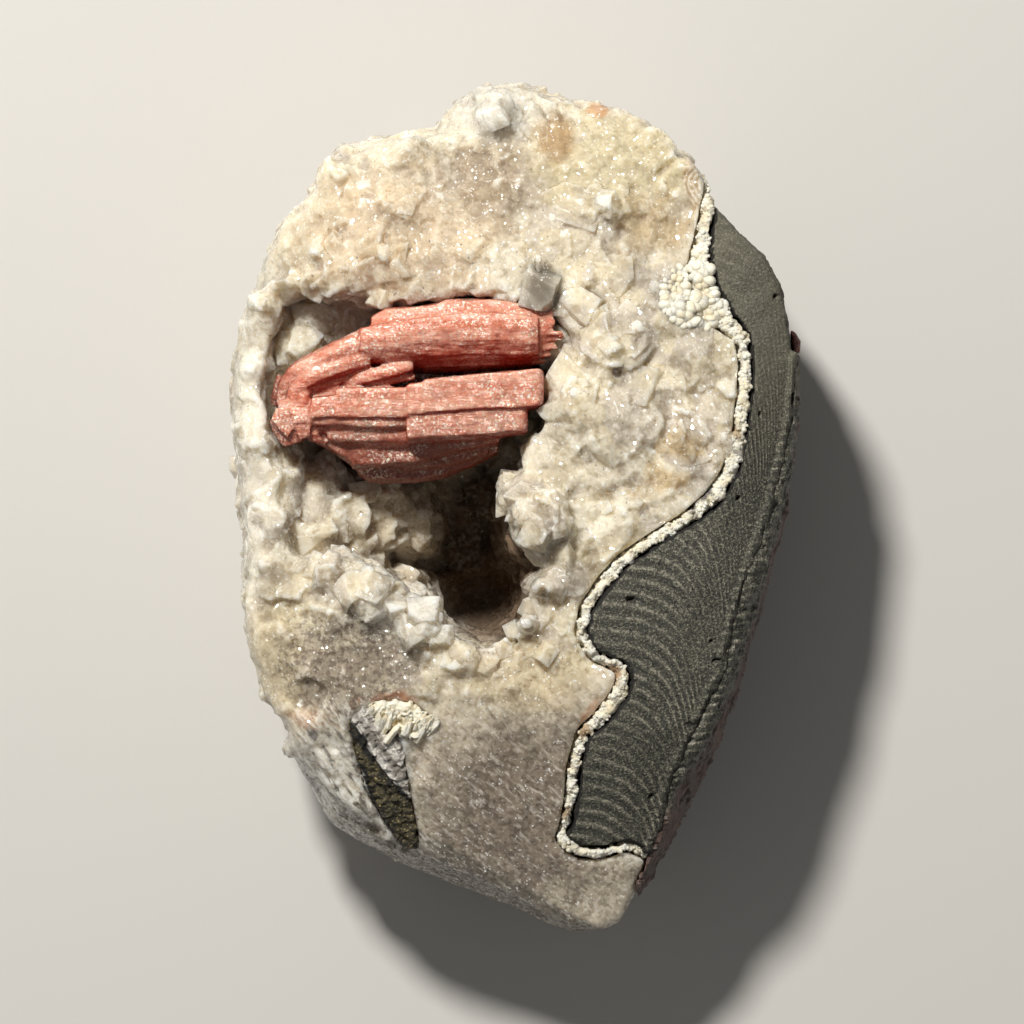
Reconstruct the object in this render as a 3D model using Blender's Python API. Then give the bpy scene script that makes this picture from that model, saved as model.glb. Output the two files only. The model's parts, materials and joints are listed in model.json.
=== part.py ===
"""An epistilbite sheaf in a drusy quartz vug, with the basalt that the quartz grew on.

The specimen lies on its flat sawn back, and the vug opens upwards. Metres, +Z up, +Y along the length.
Outlines and heights are given in millimetres and scaled by MM where a mesh is made.
"""

import math

import bmesh
import bpy
from mathutils import Matrix, Vector, noise

MM = 0.001

# Driving sizes
FRONT_HEIGHT = 40.0  # the broken front face, above the sawn back
BASE_SHARE = 0.74  # the sawn back is this share of the outline
GAP = 0.35  # between two minerals that touch
CRUST = 1.6  # thickness of the pink crust on the right flank
ROCK_GRAIN = 11.0  # wavelength of the unevenness of the rock
ABOVE = FRONT_HEIGHT + 20.0  # a height clear of everything, where cutters end
BELOW = -5.0
OUTSIDE = 60.0  # a distance clear of the rock on every side

# The silhouette from above, clockwise from the crest: x, y, and how far inside it the front face ends
OUTLINE = [
    (-2.6, 53.8, 0.6), (1.2, 52.8, 0.6), (5.1, 52.4, 0.6), (12.4, 50.8, 0.6), (15.6, 48.8, 0.5),
    (21.8, 44.8, 0.5), (23.6, 42.3, 0.5), (24.8, 38.3, 0.5), (28.1, 35.0, 0.6), (31.2, 31.9, 0.6),
    (33.3, 28.5, 0.6), (34.3, 24.0, 0.6), (35.7, 19.4, 0.6), (35.9, 13.8, 0.8), (35.4, 7.5, 1.0),
    (34.6, 1.3, 1.2), (33.4, -3.8, 1.6), (31.2, -12.5, 2.2), (29.9, -16.9, 2.2), (28.3, -22.5, 2.0),
    (25.8, -30.0, 3.2), (21.8, -38.1, 3.4), (19.6, -42.5, 2.4), (17.8, -45.9, 2.0), (15.6, -49.4, 1.4),
    (13.3, -52.5, 0.8), (10.6, -53.5, 0.8), (7.4, -53.8, 1.0), (3.7, -52.6, 1.6), (-1.9, -50.0, 2.2),
    (-10.7, -46.5, 2.4), (-16.9, -43.8, 3.0), (-23.4, -40.0, 4.6), (-25.1, -37.3, 4.6), (-28.9, -30.3, 1.6),
    (-28.2, -28.1, 1.0), (-31.7, -24.0, 1.0), (-32.6, -19.4, 1.0), (-33.9, -15.3, 1.0), (-34.7, -10.0, 1.0),
    (-34.4, -4.4, 1.0), (-35.4, 6.3, 1.0), (-35.9, 16.3, 1.0), (-34.9, 24.0, 1.0), (-31.4, 30.0, 1.0),
    (-29.4, 36.5, 1.0), (-26.7, 38.5, 1.0), (-24.1, 42.5, 1.0), (-22.4, 45.3, 1.0), (-16.3, 46.8, 1.0),
    (-12.9, 47.5, 1.0), (-9.4, 48.2, 1.0), (-7.8, 50.9, 0.8), (-4.8, 53.2, 0.6),
]
CRUST_SPAN = (12, 24)  # the places in OUTLINE that the pink crust covers
CRUST_TAPER = 3  # places over which it thins towards its ends
CRUST_END = 0.25  # share of its thickness left at its ends
# The side of the rock: height, share of the outline, how many times the outline is smoothed there
FLANK_LEVELS = ((0.0, BASE_SHARE, 10), (2.5, 0.80, 8), (10.0, 0.93, 4), (21.0, 1.0, 0))
EDGE_LEVELS = ((5.0, 0.45), (0.0, 1.0))  # drop below the front face, share of the distance inwards
FACE_RINGS = (0.84, 0.66, 0.48, 0.30, 0.13)  # shares of the front face's edge
EDGE_ROUNDING = 1.0  # the edge of the front face lies this much below it
FLANK_ROUGHNESS = 1.4

# How the front face falls away: the way it falls (x, y), the distance where that starts, fall per mm
FACE_SLOPES = (
    (0.0, -1.0, 10.0, 0.14),  # towards the lower end
    (0.0, -1.0, 26.0, 0.30),
    (0.0, 1.0, 36.0, 0.34),  # towards the crest
    (-1.0, 0.0, 25.0, 0.40),  # the left rim
    (1.0, -0.12, 27.5, 0.50),  # the basalt's second sawn face
)
# Hills and hollows of the front face: centre, radius, rise
FACE_HILLS = (
    ((13.0, 12.0), 15.0, 2.6),  # the quartz hill right of the vug
    ((-16.0, 36.0), 13.0, 1.4),  # the quartz cushion above the vug
    ((-6.5, 41.0), 7.0, -3.2),
    ((17.5, 33.0), 6.5, -4.6),  # the brown hollow
    ((-14.0, -14.0), 9.0, 1.2),
)
# The sawn faces are flatter than the broken ones
SAWN_RIGHT_OF = (16.0, 26.0)
SAWN_BELOW = (20.0, 30.0)
SAWN_FLATNESS = 0.8

# The mouth of the vug, clockwise from its upper left, and its deepest point
VUG_MOUTH = [
    (-29.6, 26.3), (-26.9, 28.1), (-22.6, 26.6), (-16.3, 25.8), (-10.7, 26.5), (-4.4, 26.6), (1.8, 26.3),
    (5.8, 23.4), (7.6, 20.0), (5.1, 16.9), (3.7, 10.0), (1.8, 7.3), (1.6, 4.5), (-1.9, 3.8), (-0.7, -1.3),
    (0.1, -4.5), (4.1, -6.5), (1.4, -9.6), (2.8, -11.5), (0.8, -14.4), (-0.9, -16.9), (-4.4, -17.3),
    (-8.8, -15.3), (-9.4, -12.8), (-14.4, -10.3), (-16.9, -7.5), (-20.7, -5.8), (-26.9, -6.5), (-28.9, -4.4),
    (-29.3, 3.8), (-31.4, 10.5), (-31.4, 16.5), (-30.3, 21.3),
]
VUG_DEEPEST = (-4.5, -8.5)
VUG_STEPS = ((1.0, 33.0), (0.93, 27.0), (0.72, 21.5), (0.46, 15.0), (0.2, 9.5))  # share of the mouth, height
VUG_ROUGHNESS = 3.0

# Where basalt meets the white rind, from the upper end to the lower, and how wide the rind is there
CONTACT = [
    (26.0, 42.5, 1.4), (24.9, 38.0, 1.4), (24.4, 34.5, 1.6), (24.1, 31.0, 2.4), (25.0, 27.5, 3.4),
    (26.8, 24.6, 2.8), (28.9, 21.8, 1.6), (29.4, 18.0, 1.5), (29.0, 13.5, 1.5), (28.4, 8.8, 1.6),
    (27.4, 4.4, 1.8), (24.9, 0.6, 1.8), (21.6, -1.9, 1.5), (17.4, -4.4, 1.4), (13.7, -6.9, 1.5),
    (11.2, -10.0, 1.6), (9.3, -12.6, 1.4), (8.6, -15.2, 1.2), (9.8, -17.5, 1.1), (13.6, -19.0, 1.3),
    (14.5, -21.3, 1.8), (13.7, -23.8, 1.9), (11.2, -26.9, 1.7), (9.4, -28.3, 1.5), (8.5, -32.0, 1.4),
    (8.4, -36.0, 1.4), (8.0, -39.4, 1.3), (7.0, -41.0, 1.2), (9.3, -42.3, 1.3), (12.0, -42.4, 1.2),
    (15.0, -41.5, 1.1), (17.5, -42.6, 1.0), (24.0, -43.6, 1.0),
]
CONTACT_HEIGHT = 37.0  # where the contact runs through those places
CONTACT_LEAN = 8.0  # how much further left it runs at BELOW than at ABOVE

# The dark inclusion at the lower left, and the white rim over its upper end
INCLUSION = [
    (-18.7, -24.6), (-16.9, -27.5), (-14.7, -29.2), (-14.2, -31.9), (-13.4, -36.3), (-12.4, -42.6),
    (-13.9, -42.0), (-16.3, -38.8), (-18.4, -35.0), (-19.8, -30.0), (-20.4, -26.5),
]
INCLUSION_RIM = [
    (-17.9, -24.1), (-15.4, -24.0), (-12.7, -24.4), (-9.7, -27.3), (-12.4, -28.1), (-14.2, -28.2),
    (-16.3, -26.7),
]
INCLUSION_FLOOR = 26.0

# Large quartz crystals: x, y, the way the point leans (x, y), width across the prism, rise above the face
QUARTZ_POINTS = [
    (2.8, -1.0, -0.50, -0.15, 8.4, 4.6), (4.2, -9.8, -0.80, 0.00, 5.0, 3.4),
    (2.6, -14.0, -0.70, -0.20, 4.2, 2.8), (7.4, 13.8, -0.20, 0.20, 6.8, 3.4),
    (10.2, 24.2, -0.30, 0.25, 5.8, 3.0), (12.8, 20.4, -0.20, -0.25, 5.4, 3.2),
    (11.0, 37.6, -0.15, 0.10, 8.8, 3.4), (21.4, 18.8, 0.05, 0.10, 8.4, 2.2),
    (-2.6, 49.2, -0.10, 0.15, 8.0, 3.6), (-11.6, -13.6, 0.20, 0.45, 5.8, 3.6),
    (-17.6, -10.0, 0.15, 0.40, 6.2, 3.4), (-6.2, -18.4, 0.05, 0.30, 5.0, 3.0),
    (-23.0, -8.2, 0.05, 0.40, 5.2, 3.0), (-32.2, 25.4, -0.35, 0.15, 4.6, 2.0),
    (-33.0, 17.6, -0.35, 0.05, 4.2, 1.8), (-32.6, 8.0, -0.35, 0.00, 4.0, 1.8),
    (-32.0, -0.6, -0.35, 0.05, 4.0, 1.8), (-31.4, -7.0, -0.30, -0.10, 4.4, 1.8),
    (-22.4, 42.2, -0.25, 0.25, 6.0, 2.6), (-13.4, 44.4, -0.05, 0.30, 5.4, 2.4),
    (-16.4, 31.4, 0.10, -0.25, 5.0, 2.0), (-24.6, 31.6, -0.10, -0.10, 5.6, 2.0),
    (15.4, 22.6, 0.00, 0.20, 5.0, 2.0), (16.6, 11.0, 0.10, -0.10, 5.6, 1.8),
    (11.2, 3.2, -0.20, -0.15, 5.2, 2.2),
]
POINT_SUNK = 5.0  # how far a crystal's prism goes into the rock
POINT_SLOPE = 1.1  # height of its pyramid over half its width
POINT_TIP = 0.1  # its tip is blunt: a share of its width
NEAR_THE_SHEAF = (3, 4)  # places in QUARTZ_POINTS, counted from 0

# The epistilbite sheaf, a stack of blades seen from above: outline, lowest and highest level, bevel
LEVEL = 0.01  # points this near in height lie on one level
BLADES = {
    "upper_back": (
        [
            (-19.0, 23.6), (-16.6, 25.6), (-9.5, 26.1), (-1.9, 26.2), (4.6, 25.5), (4.9, 23.4),
            (-2.0, 22.6), (-12.0, 22.4),
        ],
        27.0, 39.4, 0.7,
    ),
    "upper_front": (
        [
            (-19.6, 20.6), (-18.9, 24.2), (-11.0, 25.0), (-2.0, 25.3), (3.7, 24.4), (4.6, 22.0),
            (3.0, 18.2), (-2.0, 17.2), (-9.0, 17.0), (-15.0, 17.4),
        ],
        26.0, 42.2, 1.5,
    ),
    "upper_end": (
        [
            (2.6, 19.6), (2.9, 25.2), (4.9, 25.3), (6.1, 22.0), (6.0, 20.4), (4.8, 19.2),
        ],
        27.0, 39.6, 0.5,
    ),
    "left_arm": (
        [
            (-29.6, 13.9), (-29.8, 16.4), (-28.2, 18.4), (-25.6, 19.2), (-20.0, 21.6), (-17.6, 20.8),
            (-17.4, 18.4), (-23.0, 16.8), (-25.5, 15.0), (-26.0, 13.2),
        ],
        30.0, 40.4, 0.9,
    ),
    "inner_blade": (
        [
            (-25.8, 14.9), (-22.0, 17.2), (-13.2, 18.5), (-12.6, 17.2), (-16.0, 15.6), (-21.0, 14.6),
        ],
        27.0, 38.2, 0.5,
    ),
    "left_block": (
        [
            (-30.6, 11.4), (-29.9, 12.9), (-26.4, 13.6), (-24.8, 13.0), (-24.4, 9.4), (-26.8, 8.2),
            (-28.9, 8.1),
        ],
        33.0, 41.2, 0.5,
    ),
    "lower_top": (
        [
            (-25.5, 12.4), (-25.2, 14.3), (-22.6, 15.3), (-16.3, 15.2), (-9.0, 16.5), (-0.6, 17.5),
            (3.2, 17.6), (3.6, 15.8), (3.2, 13.0), (-8.0, 12.0), (-13.5, 11.4), (-24.8, 11.2),
        ],
        27.0, 43.2, 0.4,
    ),
    "lower_front": (
        [
            (-25.5, 9.4), (-25.4, 12.6), (-13.4, 12.8), (1.4, 13.4), (1.2, 9.1), (-8.8, 8.2),
            (-13.4, 7.6), (-21.6, 8.0),
        ],
        26.0, 41.0, 0.4,
    ),
    "under_upper": (
        [
            (-22.0, 9.0), (-21.0, 7.6), (-18.6, 5.9), (-9.2, 6.0), (-1.4, 8.0), (1.0, 9.6), (-8.0, 10.6),
            (-18.0, 10.6),
        ],
        25.5, 37.4, 0.4,
    ),
    "under_lower": (
        [
            (-20.2, 8.0), (-19.6, 5.4), (-17.8, 3.8), (-9.0, 3.6), (-3.0, 5.2), (-0.6, 7.2), (-8.0, 8.6),
            (-16.0, 8.6),
        ],
        24.5, 34.0, 0.4,
    ),
    "root": (
        [
            (-18.0, 8.0), (-18.4, 20.0), (-8.0, 23.0), (2.8, 23.0), (2.4, 12.0), (-6.0, 9.0),
        ],
        23.0, 33.0, 1.0,
    ),
}
# The small epistilbite crystal on the right edge: outline, lowest and highest level, bevel
EDGE_CRYSTAL = ([(33.6, 19.4), (33.8, 22.6), (35.1, 22.4), (35.9, 21.2), (35.7, 19.8)], 24.5, 31.0, 0.4)


def smooth(value, start, end):
    """0 before start, 1 after end, and a soft ramp between them."""
    t = min(1.0, max(0.0, (value - start) / (end - start)))
    return t * t * (3.0 - 2.0 * t)


def bump(x, y, centre, radius):
    """1 at the centre, falling softly to 0 at the radius."""
    return 1.0 - smooth(math.hypot(x - centre[0], y - centre[1]), 0.0, radius)


def unevenness(x, y, z, amount):
    return amount * noise.noise(Vector((x, y, z)) / ROCK_GRAIN)


def front_height(x, y):
    """Height of the front face before the vug is opened in it."""
    height = FRONT_HEIGHT
    for way_x, way_y, start, fall in FACE_SLOPES:
        height -= fall * max(0.0, x * way_x + y * way_y - start)
    for centre, radius, rise in FACE_HILLS:
        height += rise * bump(x, y, centre, radius)
    sawn = max(smooth(x, *SAWN_RIGHT_OF), smooth(-y, *SAWN_BELOW))
    return height + unevenness(x, y, 0.0, 1.0 - SAWN_FLATNESS * sawn)


def smoothed(points, times):
    """A closed ring of points, each moved to the middle of itself and its neighbours, some times over."""
    for _ in range(times):
        count = len(points)
        points = [(points[i - 1] + 2.0 * points[i] + points[(i + 1) % count]) / 4.0 for i in range(count)]
    return points


def crust_thickness(place):
    """Thickness of the pink crust at a place in OUTLINE, thinning towards both its ends."""
    from_end = min(place - CRUST_SPAN[0], CRUST_SPAN[1] - place)
    return CRUST * min(1.0, CRUST_END + (1.0 - CRUST_END) * from_end / CRUST_TAPER)


def flank_inset(place):
    """The flank stands back where the crust covers it."""
    return crust_thickness(place) + GAP if CRUST_SPAN[0] <= place <= CRUST_SPAN[1] else 0.0


def inwards(point, distance):
    return point * (1.0 - distance / point.length)


def flank_rings(inset_of):
    """Rings of points up the side of the rock, from the sawn back to the edge of the front face."""
    rings = []
    outline = [Vector((x, y)) for x, y, _ in OUTLINE]
    for height, share, times in FLANK_LEVELS:
        ring = []
        for place, point in enumerate(smoothed(outline, times)):
            point = inwards(point, inset_of(place)) * share
            rough = unevenness(point.x, point.y, height, FLANK_ROUGHNESS) if height else 0.0
            ring.append(Vector((point.x, point.y, height + rough)))
        rings.append(ring)
    for drop, share in EDGE_LEVELS:
        ring = []
        for place, point in enumerate(outline):
            point = inwards(point, inset_of(place) + OUTLINE[place][2] * share)
            ring.append(Vector((point.x, point.y, front_height(point.x, point.y) - EDGE_ROUNDING - drop)))
        rings.append(ring)
    return rings


def rock_rings(grown=0.0):
    """The whole rock before it is divided into its minerals."""
    rings = flank_rings(lambda place: flank_inset(place) - grown)
    edge = rings[-1]
    for share in FACE_RINGS:
        spots = [(point.x * share, point.y * share) for point in edge]
        rings.append([Vector((x, y, front_height(x, y))) for x, y in spots])
    return rings


def mesh_object(name, bm, finish=None):
    """A bmesh in millimetres becomes an object in metres."""
    bmesh.ops.recalc_face_normals(bm, faces=bm.faces)
    bmesh.ops.scale(bm, vec=(MM, MM, MM), verts=bm.verts)
    mesh = bpy.data.meshes.new(name)
    bm.to_mesh(mesh)
    bm.free()
    obj = bpy.data.objects.new(name, mesh)
    bpy.context.scene.collection.objects.link(obj)
    if finish:
        mesh.materials.append(finish)
    return obj


def cutter(name, bm):
    """A helper shape that Booleans use and no render shows."""
    obj = mesh_object(name, bm)
    obj.hide_render = True
    obj.display_type = "WIRE"
    return obj


def boolean(obj, operation, other):
    modifier = obj.modifiers.new(f"{operation} {other.name}", "BOOLEAN")
    modifier.operation = operation
    modifier.solver = "EXACT"
    modifier.object = other


def material(name, color, roughness):
    made = bpy.data.materials.new(name)
    made.use_nodes = True
    shader = made.node_tree.nodes["Principled BSDF"]
    shader.inputs["Base Color"].default_value = (*color, 1.0)
    shader.inputs["Roughness"].default_value = roughness
    shader.inputs["Metallic"].default_value = 0.0
    made.diffuse_color = (*color, 1.0)
    return made


def loft(rings):
    """A closed bmesh through rings that all have the same number of points, capped at both ends."""
    bm = bmesh.new()
    made = [[bm.verts.new(point) for point in ring] for ring in rings]
    count = len(made[0])
    for low, high in zip(made, made[1:]):
        for i in range(count):
            j = (i + 1) % count
            bm.faces.new((low[i], low[j], high[j], high[i]))
    bm.faces.new(made[0])
    bm.faces.new(made[-1])
    bmesh.ops.triangulate(bm, faces=bm.faces)
    return bm


def prism(outline, low, high, lean=0.0):
    """An outline drawn upwards from one height to another. Its foot is moved left by lean."""
    foot = [Vector((x - lean, y, low)) for x, y in outline]
    top = [Vector((x, y, high)) for x, y in outline]
    return loft([foot, top])


def grown_outline(outline, distance):
    """A clockwise outline with every point moved outwards."""
    count = len(outline)
    moved = []
    for i, (x, y) in enumerate(outline):
        before, after = outline[i - 1], outline[(i + 1) % count]
        along = Vector((after[0] - before[0], after[1] - before[1])).normalized()
        moved.append((x - along.y * distance, y + along.x * distance))
    return moved


def shifted_contact(distance_of):
    """The contact line moved left, square to itself. distance_of takes the rind's width at a point."""
    moved = []
    for i, (x, y, width) in enumerate(CONTACT):
        before, after = CONTACT[max(0, i - 1)], CONTACT[min(len(CONTACT) - 1, i + 1)]
        along = Vector((after[0] - before[0], after[1] - before[1])).normalized()
        distance = distance_of(width)
        moved.append((x + along.y * distance, y - along.x * distance))
    return moved


def basalt_side(name, distance_of):
    """Everything on the basalt's side of the shifted contact line."""
    above = CONTACT_LEAN * (ABOVE - CONTACT_HEIGHT) / (ABOVE - BELOW)
    line = [(x + above, y) for x, y in shifted_contact(distance_of)]
    corners = [(OUTSIDE, line[-1][1]), (OUTSIDE, OUTSIDE), (line[0][0], OUTSIDE)]
    return cutter(name, prism([*line, *corners], BELOW, ABOVE, CONTACT_LEAN))


def vug_rings(inset):
    """The vug's space, narrowed by inset all round and lifted off its floor as much."""
    deepest = Vector(VUG_DEEPEST)
    rings = []
    for share, height in ((1.0, ABOVE), *VUG_STEPS):
        ring = []
        for x, y in VUG_MOUTH:
            spoke = Vector((x, y)) - deepest
            foot = deepest + spoke.normalized() * (spoke.length * share - inset)
            rough = unevenness(x, y, height, VUG_ROUGHNESS) * share if share < 1.0 else 0.0
            ring.append(Vector((foot.x, foot.y, height + rough + inset)))
        rings.append(ring)
    return rings


def quartz_point(x, y, lean_x, lean_y, width, rise, grown=0.0):
    """A six-sided prism with a six-sided pyramid on it, sunk into the rock at its foot."""
    radius = width / 2 + grown
    pyramid = POINT_SLOPE * radius
    length = POINT_SUNK + rise + grown
    turns = [turn * math.tau / 6 for turn in range(6)]
    rings = []
    for height, reach in ((0.0, radius), (length - pyramid, radius), (length, POINT_TIP * radius)):
        rings.append([Vector((reach * math.cos(turn), reach * math.sin(turn), height)) for turn in turns])
    bm = loft(rings)
    way = Vector((lean_x, lean_y, 1.0)).normalized()
    foot = Vector((x, y, front_height(x, y))) - way * POINT_SUNK
    turned = way.to_track_quat("Z", "Y").to_matrix().to_4x4()
    bmesh.ops.transform(bm, matrix=Matrix.Translation(foot) @ turned, verts=bm.verts)
    return bm


def blade(outline, low, high, bevel):
    """An outline drawn upwards, with its upper edges taken off."""
    bm = prism(outline, low, high)
    bmesh.ops.dissolve_limit(bm, angle_limit=math.radians(1), verts=bm.verts, edges=bm.edges)
    upper = [edge for edge in bm.edges if all(vert.co.z > high - LEVEL for vert in edge.verts)]
    bmesh.ops.bevel(bm, geom=upper, offset=bevel, segments=1, affect="EDGES", clamp_overlap=True)
    bmesh.ops.triangulate(bm, faces=bm.faces)
    return bm


def make_quartz(rock, finish):
    """The massive quartz with its vug opened, its large crystals grown on it and its neighbours taken off."""
    quartz = mesh_object("quartz_body", loft(rock), finish)
    boolean(quartz, "DIFFERENCE", cutter("vug_space", loft(vug_rings(0.0))))
    for number, point in enumerate(QUARTZ_POINTS):
        boolean(quartz, "UNION", cutter(f"quartz_point_{number:02d}", quartz_point(*point)))
    boolean(quartz, "DIFFERENCE", basalt_side("rind_side_with_gap", lambda width: width + GAP))
    for name, outline in (("inclusion_pocket", INCLUSION), ("inclusion_rim_pocket", INCLUSION_RIM)):
        pocket = prism(grown_outline(outline, GAP), INCLUSION_FLOOR - GAP, ABOVE)
        boolean(quartz, "DIFFERENCE", cutter(name, pocket))


def make_basalt(rock, finish):
    basalt = mesh_object("basalt_block", loft(rock), finish)
    boolean(basalt, "INTERSECT", basalt_side("basalt_side", lambda width: 0.0))


def make_rind(rock, finish):
    rind = mesh_object("white_rind", loft(rock), finish)
    boolean(rind, "INTERSECT", basalt_side("rind_side", lambda width: width))
    boolean(rind, "DIFFERENCE", basalt_side("basalt_side_with_gap", lambda width: GAP))


def make_inclusion(rock, name, outline, finish):
    inclusion = mesh_object(name, loft(rock), finish)
    boolean(inclusion, "INTERSECT", cutter(f"{name}_space", prism(outline, INCLUSION_FLOOR, ABOVE)))


def make_sheaf(finish):
    """The blades joined into one crystal group, cut back to the vug's walls."""
    first, *others = [(name, blade(*shape)) for name, shape in BLADES.items()]
    sheaf = mesh_object("epistilbite_sheaf", first[1], finish)
    for name, bm in others:
        boolean(sheaf, "UNION", cutter(f"blade_{name}", bm))
    boolean(sheaf, "INTERSECT", cutter("vug_space_with_gap", loft(vug_rings(GAP))))
    for number in NEAR_THE_SHEAF:
        room = cutter(f"room_round_point_{number:02d}", quartz_point(*QUARTZ_POINTS[number], grown=GAP))
        boolean(sheaf, "DIFFERENCE", room)


def make_crust(finish):
    """The crust over the basalt's flank, as thick as the flank stands back there, less the gap."""
    inner = flank_rings(crust_thickness)
    outer = flank_rings(lambda place: 0.0)
    sections = []
    for place in range(CRUST_SPAN[0], CRUST_SPAN[1] + 1):
        inside = [ring[place] for ring in inner[1:]]
        outside = [ring[place] for ring in outer[1:]]
        sections.append([*inside, *reversed(outside)])
    mesh_object("pink_crust", loft(sections), finish)


def make_edge_crystal(rock, finish):
    crystal = mesh_object("edge_epistilbite", blade(*EDGE_CRYSTAL), finish)
    boolean(crystal, "DIFFERENCE", cutter("rock_with_gap", loft(rock_rings(GAP))))


def main():
    for obj in list(bpy.data.objects):
        bpy.data.objects.remove(obj, do_unlink=True)
    epistilbite_red = material("epistilbite", (0.56, 0.18, 0.13), 0.35)
    rind_white = material("white_rind", (0.86, 0.82, 0.70), 0.7)
    rock = rock_rings()
    make_quartz(rock, material("milky_quartz", (0.78, 0.72, 0.64), 0.35))
    make_basalt(rock, material("sawn_basalt", (0.11, 0.11, 0.095), 0.8))
    make_rind(rock, rind_white)
    make_inclusion(rock, "dark_inclusion", INCLUSION, material("dark_inclusion", (0.12, 0.11, 0.07), 0.8))
    make_inclusion(rock, "inclusion_rim", INCLUSION_RIM, rind_white)
    make_sheaf(epistilbite_red)
    make_crust(material("pink_crust", (0.45, 0.26, 0.22), 0.5))
    make_edge_crystal(rock, epistilbite_red)


main()
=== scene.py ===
"""Looks of an epistilbite specimen: a red sheaf in a drusy quartz vug, on sawn basalt.

Laid out as an add-on and run as a script. Lengths in the tables below are millimetres.
"""

import json
import math

import bmesh
import bpy
import numpy as np
from bpy.props import FloatProperty, FloatVectorProperty, IntProperty, PointerProperty
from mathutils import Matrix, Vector, noise
from mathutils.bvhtree import BVHTree
from mathutils.kdtree import KDTree

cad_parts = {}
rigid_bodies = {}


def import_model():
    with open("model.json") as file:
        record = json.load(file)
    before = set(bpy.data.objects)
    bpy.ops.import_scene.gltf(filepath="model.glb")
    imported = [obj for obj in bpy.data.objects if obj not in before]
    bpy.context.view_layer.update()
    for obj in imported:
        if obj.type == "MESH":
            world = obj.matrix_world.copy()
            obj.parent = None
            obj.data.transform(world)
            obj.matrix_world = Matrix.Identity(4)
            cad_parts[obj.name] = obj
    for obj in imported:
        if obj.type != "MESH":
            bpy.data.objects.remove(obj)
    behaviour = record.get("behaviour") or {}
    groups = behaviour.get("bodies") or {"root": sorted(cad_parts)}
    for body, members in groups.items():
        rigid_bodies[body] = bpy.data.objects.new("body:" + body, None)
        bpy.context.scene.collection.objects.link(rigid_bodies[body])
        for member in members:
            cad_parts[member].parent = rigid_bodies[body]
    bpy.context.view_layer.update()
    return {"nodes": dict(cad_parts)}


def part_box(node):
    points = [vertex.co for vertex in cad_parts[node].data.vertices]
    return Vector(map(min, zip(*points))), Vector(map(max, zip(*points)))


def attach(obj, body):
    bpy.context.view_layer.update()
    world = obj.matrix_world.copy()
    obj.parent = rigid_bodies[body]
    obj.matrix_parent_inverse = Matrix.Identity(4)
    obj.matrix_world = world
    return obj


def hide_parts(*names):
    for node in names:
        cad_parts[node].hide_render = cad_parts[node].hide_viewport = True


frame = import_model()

bl_info = {
    "name": "Epistilbite Specimen",
    "version": (1, 0, 0),
    "blender": (4, 5, 0),
    "location": "View3D > Sidebar > Specimen",
    "description": "Builds the minerals of an epistilbite specimen round its fixed frame",
    "category": "Add Mesh",
}

MM = 0.001
UP = Vector((0.0, 0.0, 1.0))

# ---------------------------------------------------------------- places on the specimen, seen from above

# Large crystals: x, y, width, the way the point leans (x, y), rise above the surface as a share of the width,
# and for some the height of their foot
LARGE_CRYSTALS = [
    # the hill right of the sheaf and of the vug's hole
    (6.5, 16.0, 6.4, -0.10, 0.10, 0.10), (3.5, 7.4, 4.8, -0.50, 0.10, 0.15),
    (0.4, 1.75, 4.6, -0.50, 0.05, 0.15), (2.6, -0.9, 7.4, -0.35, -0.15, 0.12),
    (2.7, -5.4, 4.4, -0.60, -0.30, 0.10), (5.3, -6.5, 4.6, -0.30, -0.10, 0.10),
    (4.0, -9.0, 6.0, -0.50, 0.05, 0.12), (2.2, -12.6, 5.0, -0.60, 0.00, 0.12),
    (-0.3, -14.9, 2.8, -0.40, 0.30, 0.20), (11.7, 30.0, 7.2, -0.15, 0.05, 0.08),
    (14.3, 22.6, 6.6, 0.00, 0.15, 0.08), (10.3, 22.6, 4.2, -0.35, -0.10, 0.15),
    (21.4, 18.6, 7.6, 0.10, 0.05, 0.05), (15.6, 15.5, 6.6, -0.10, 0.15, 0.08),
    (4.6, 20.8, 5.4, -0.30, 0.00, 0.10), (6.6, 37.6, 8.4, -0.20, 0.05, 0.08),
    (4.4, 12.2, 3.2, -0.40, -0.10, 0.15),
    # the lower rim of the vug
    (-23.9, -7.2, 4.6, 0.05, 0.40, 0.15), (-20.0, -9.2, 5.0, 0.10, 0.35, 0.12),
    (-17.4, -9.6, 4.6, 0.15, 0.45, 0.15), (-14.6, -11.2, 4.0, 0.15, 0.45, 0.15),
    (-12.2, -14.0, 5.6, 0.20, 0.35, 0.15), (-9.2, -15.2, 3.8, 0.10, 0.45, 0.15),
    (-7.0, -18.2, 4.6, 0.05, 0.35, 0.15), (-3.6, -18.8, 3.4, 0.00, 0.40, 0.15),
    (-0.6, -18.4, 3.2, -0.20, 0.30, 0.15),
    # the recess between the sheaf and the cushion
    (-28.4, 20.4, 4.6, 0.35, -0.20, 0.10), (-25.6, 23.2, 5.0, 0.20, -0.35, 0.10),
    # the lower edge of the cushion above the vug
    (-22.4, 31.1, 5.8, 0.05, -0.30, 0.08), (-15.7, 30.8, 6.4, 0.00, -0.25, 0.08),
    (-18.6, 28.6, 5.6, 0.05, -0.50, 0.12), (-25.0, 28.0, 4.4, 0.10, -0.45, 0.12),
    (-9.7, 30.0, 5.8, 0.00, -0.25, 0.08),
    # the clear ones at the vug's edge
    (8.0, 25.4, 5.4, -0.35, 0.05, 0.55), (2.2, -2.6, 5.0, -0.45, -0.15, 0.45),
    # the crest
    (-2.7, 48.6, 8.6, -0.15, 0.10, 0.08), (2.6, 48.2, 6.0, 0.05, 0.15, 0.08),
]

# The smoky crystal that stands free at the vug's edge, in the same columns
SMOKY_CRYSTALS = [(3.2, 27.6, 5.8, -0.25, -0.10, 0.62)]

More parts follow.
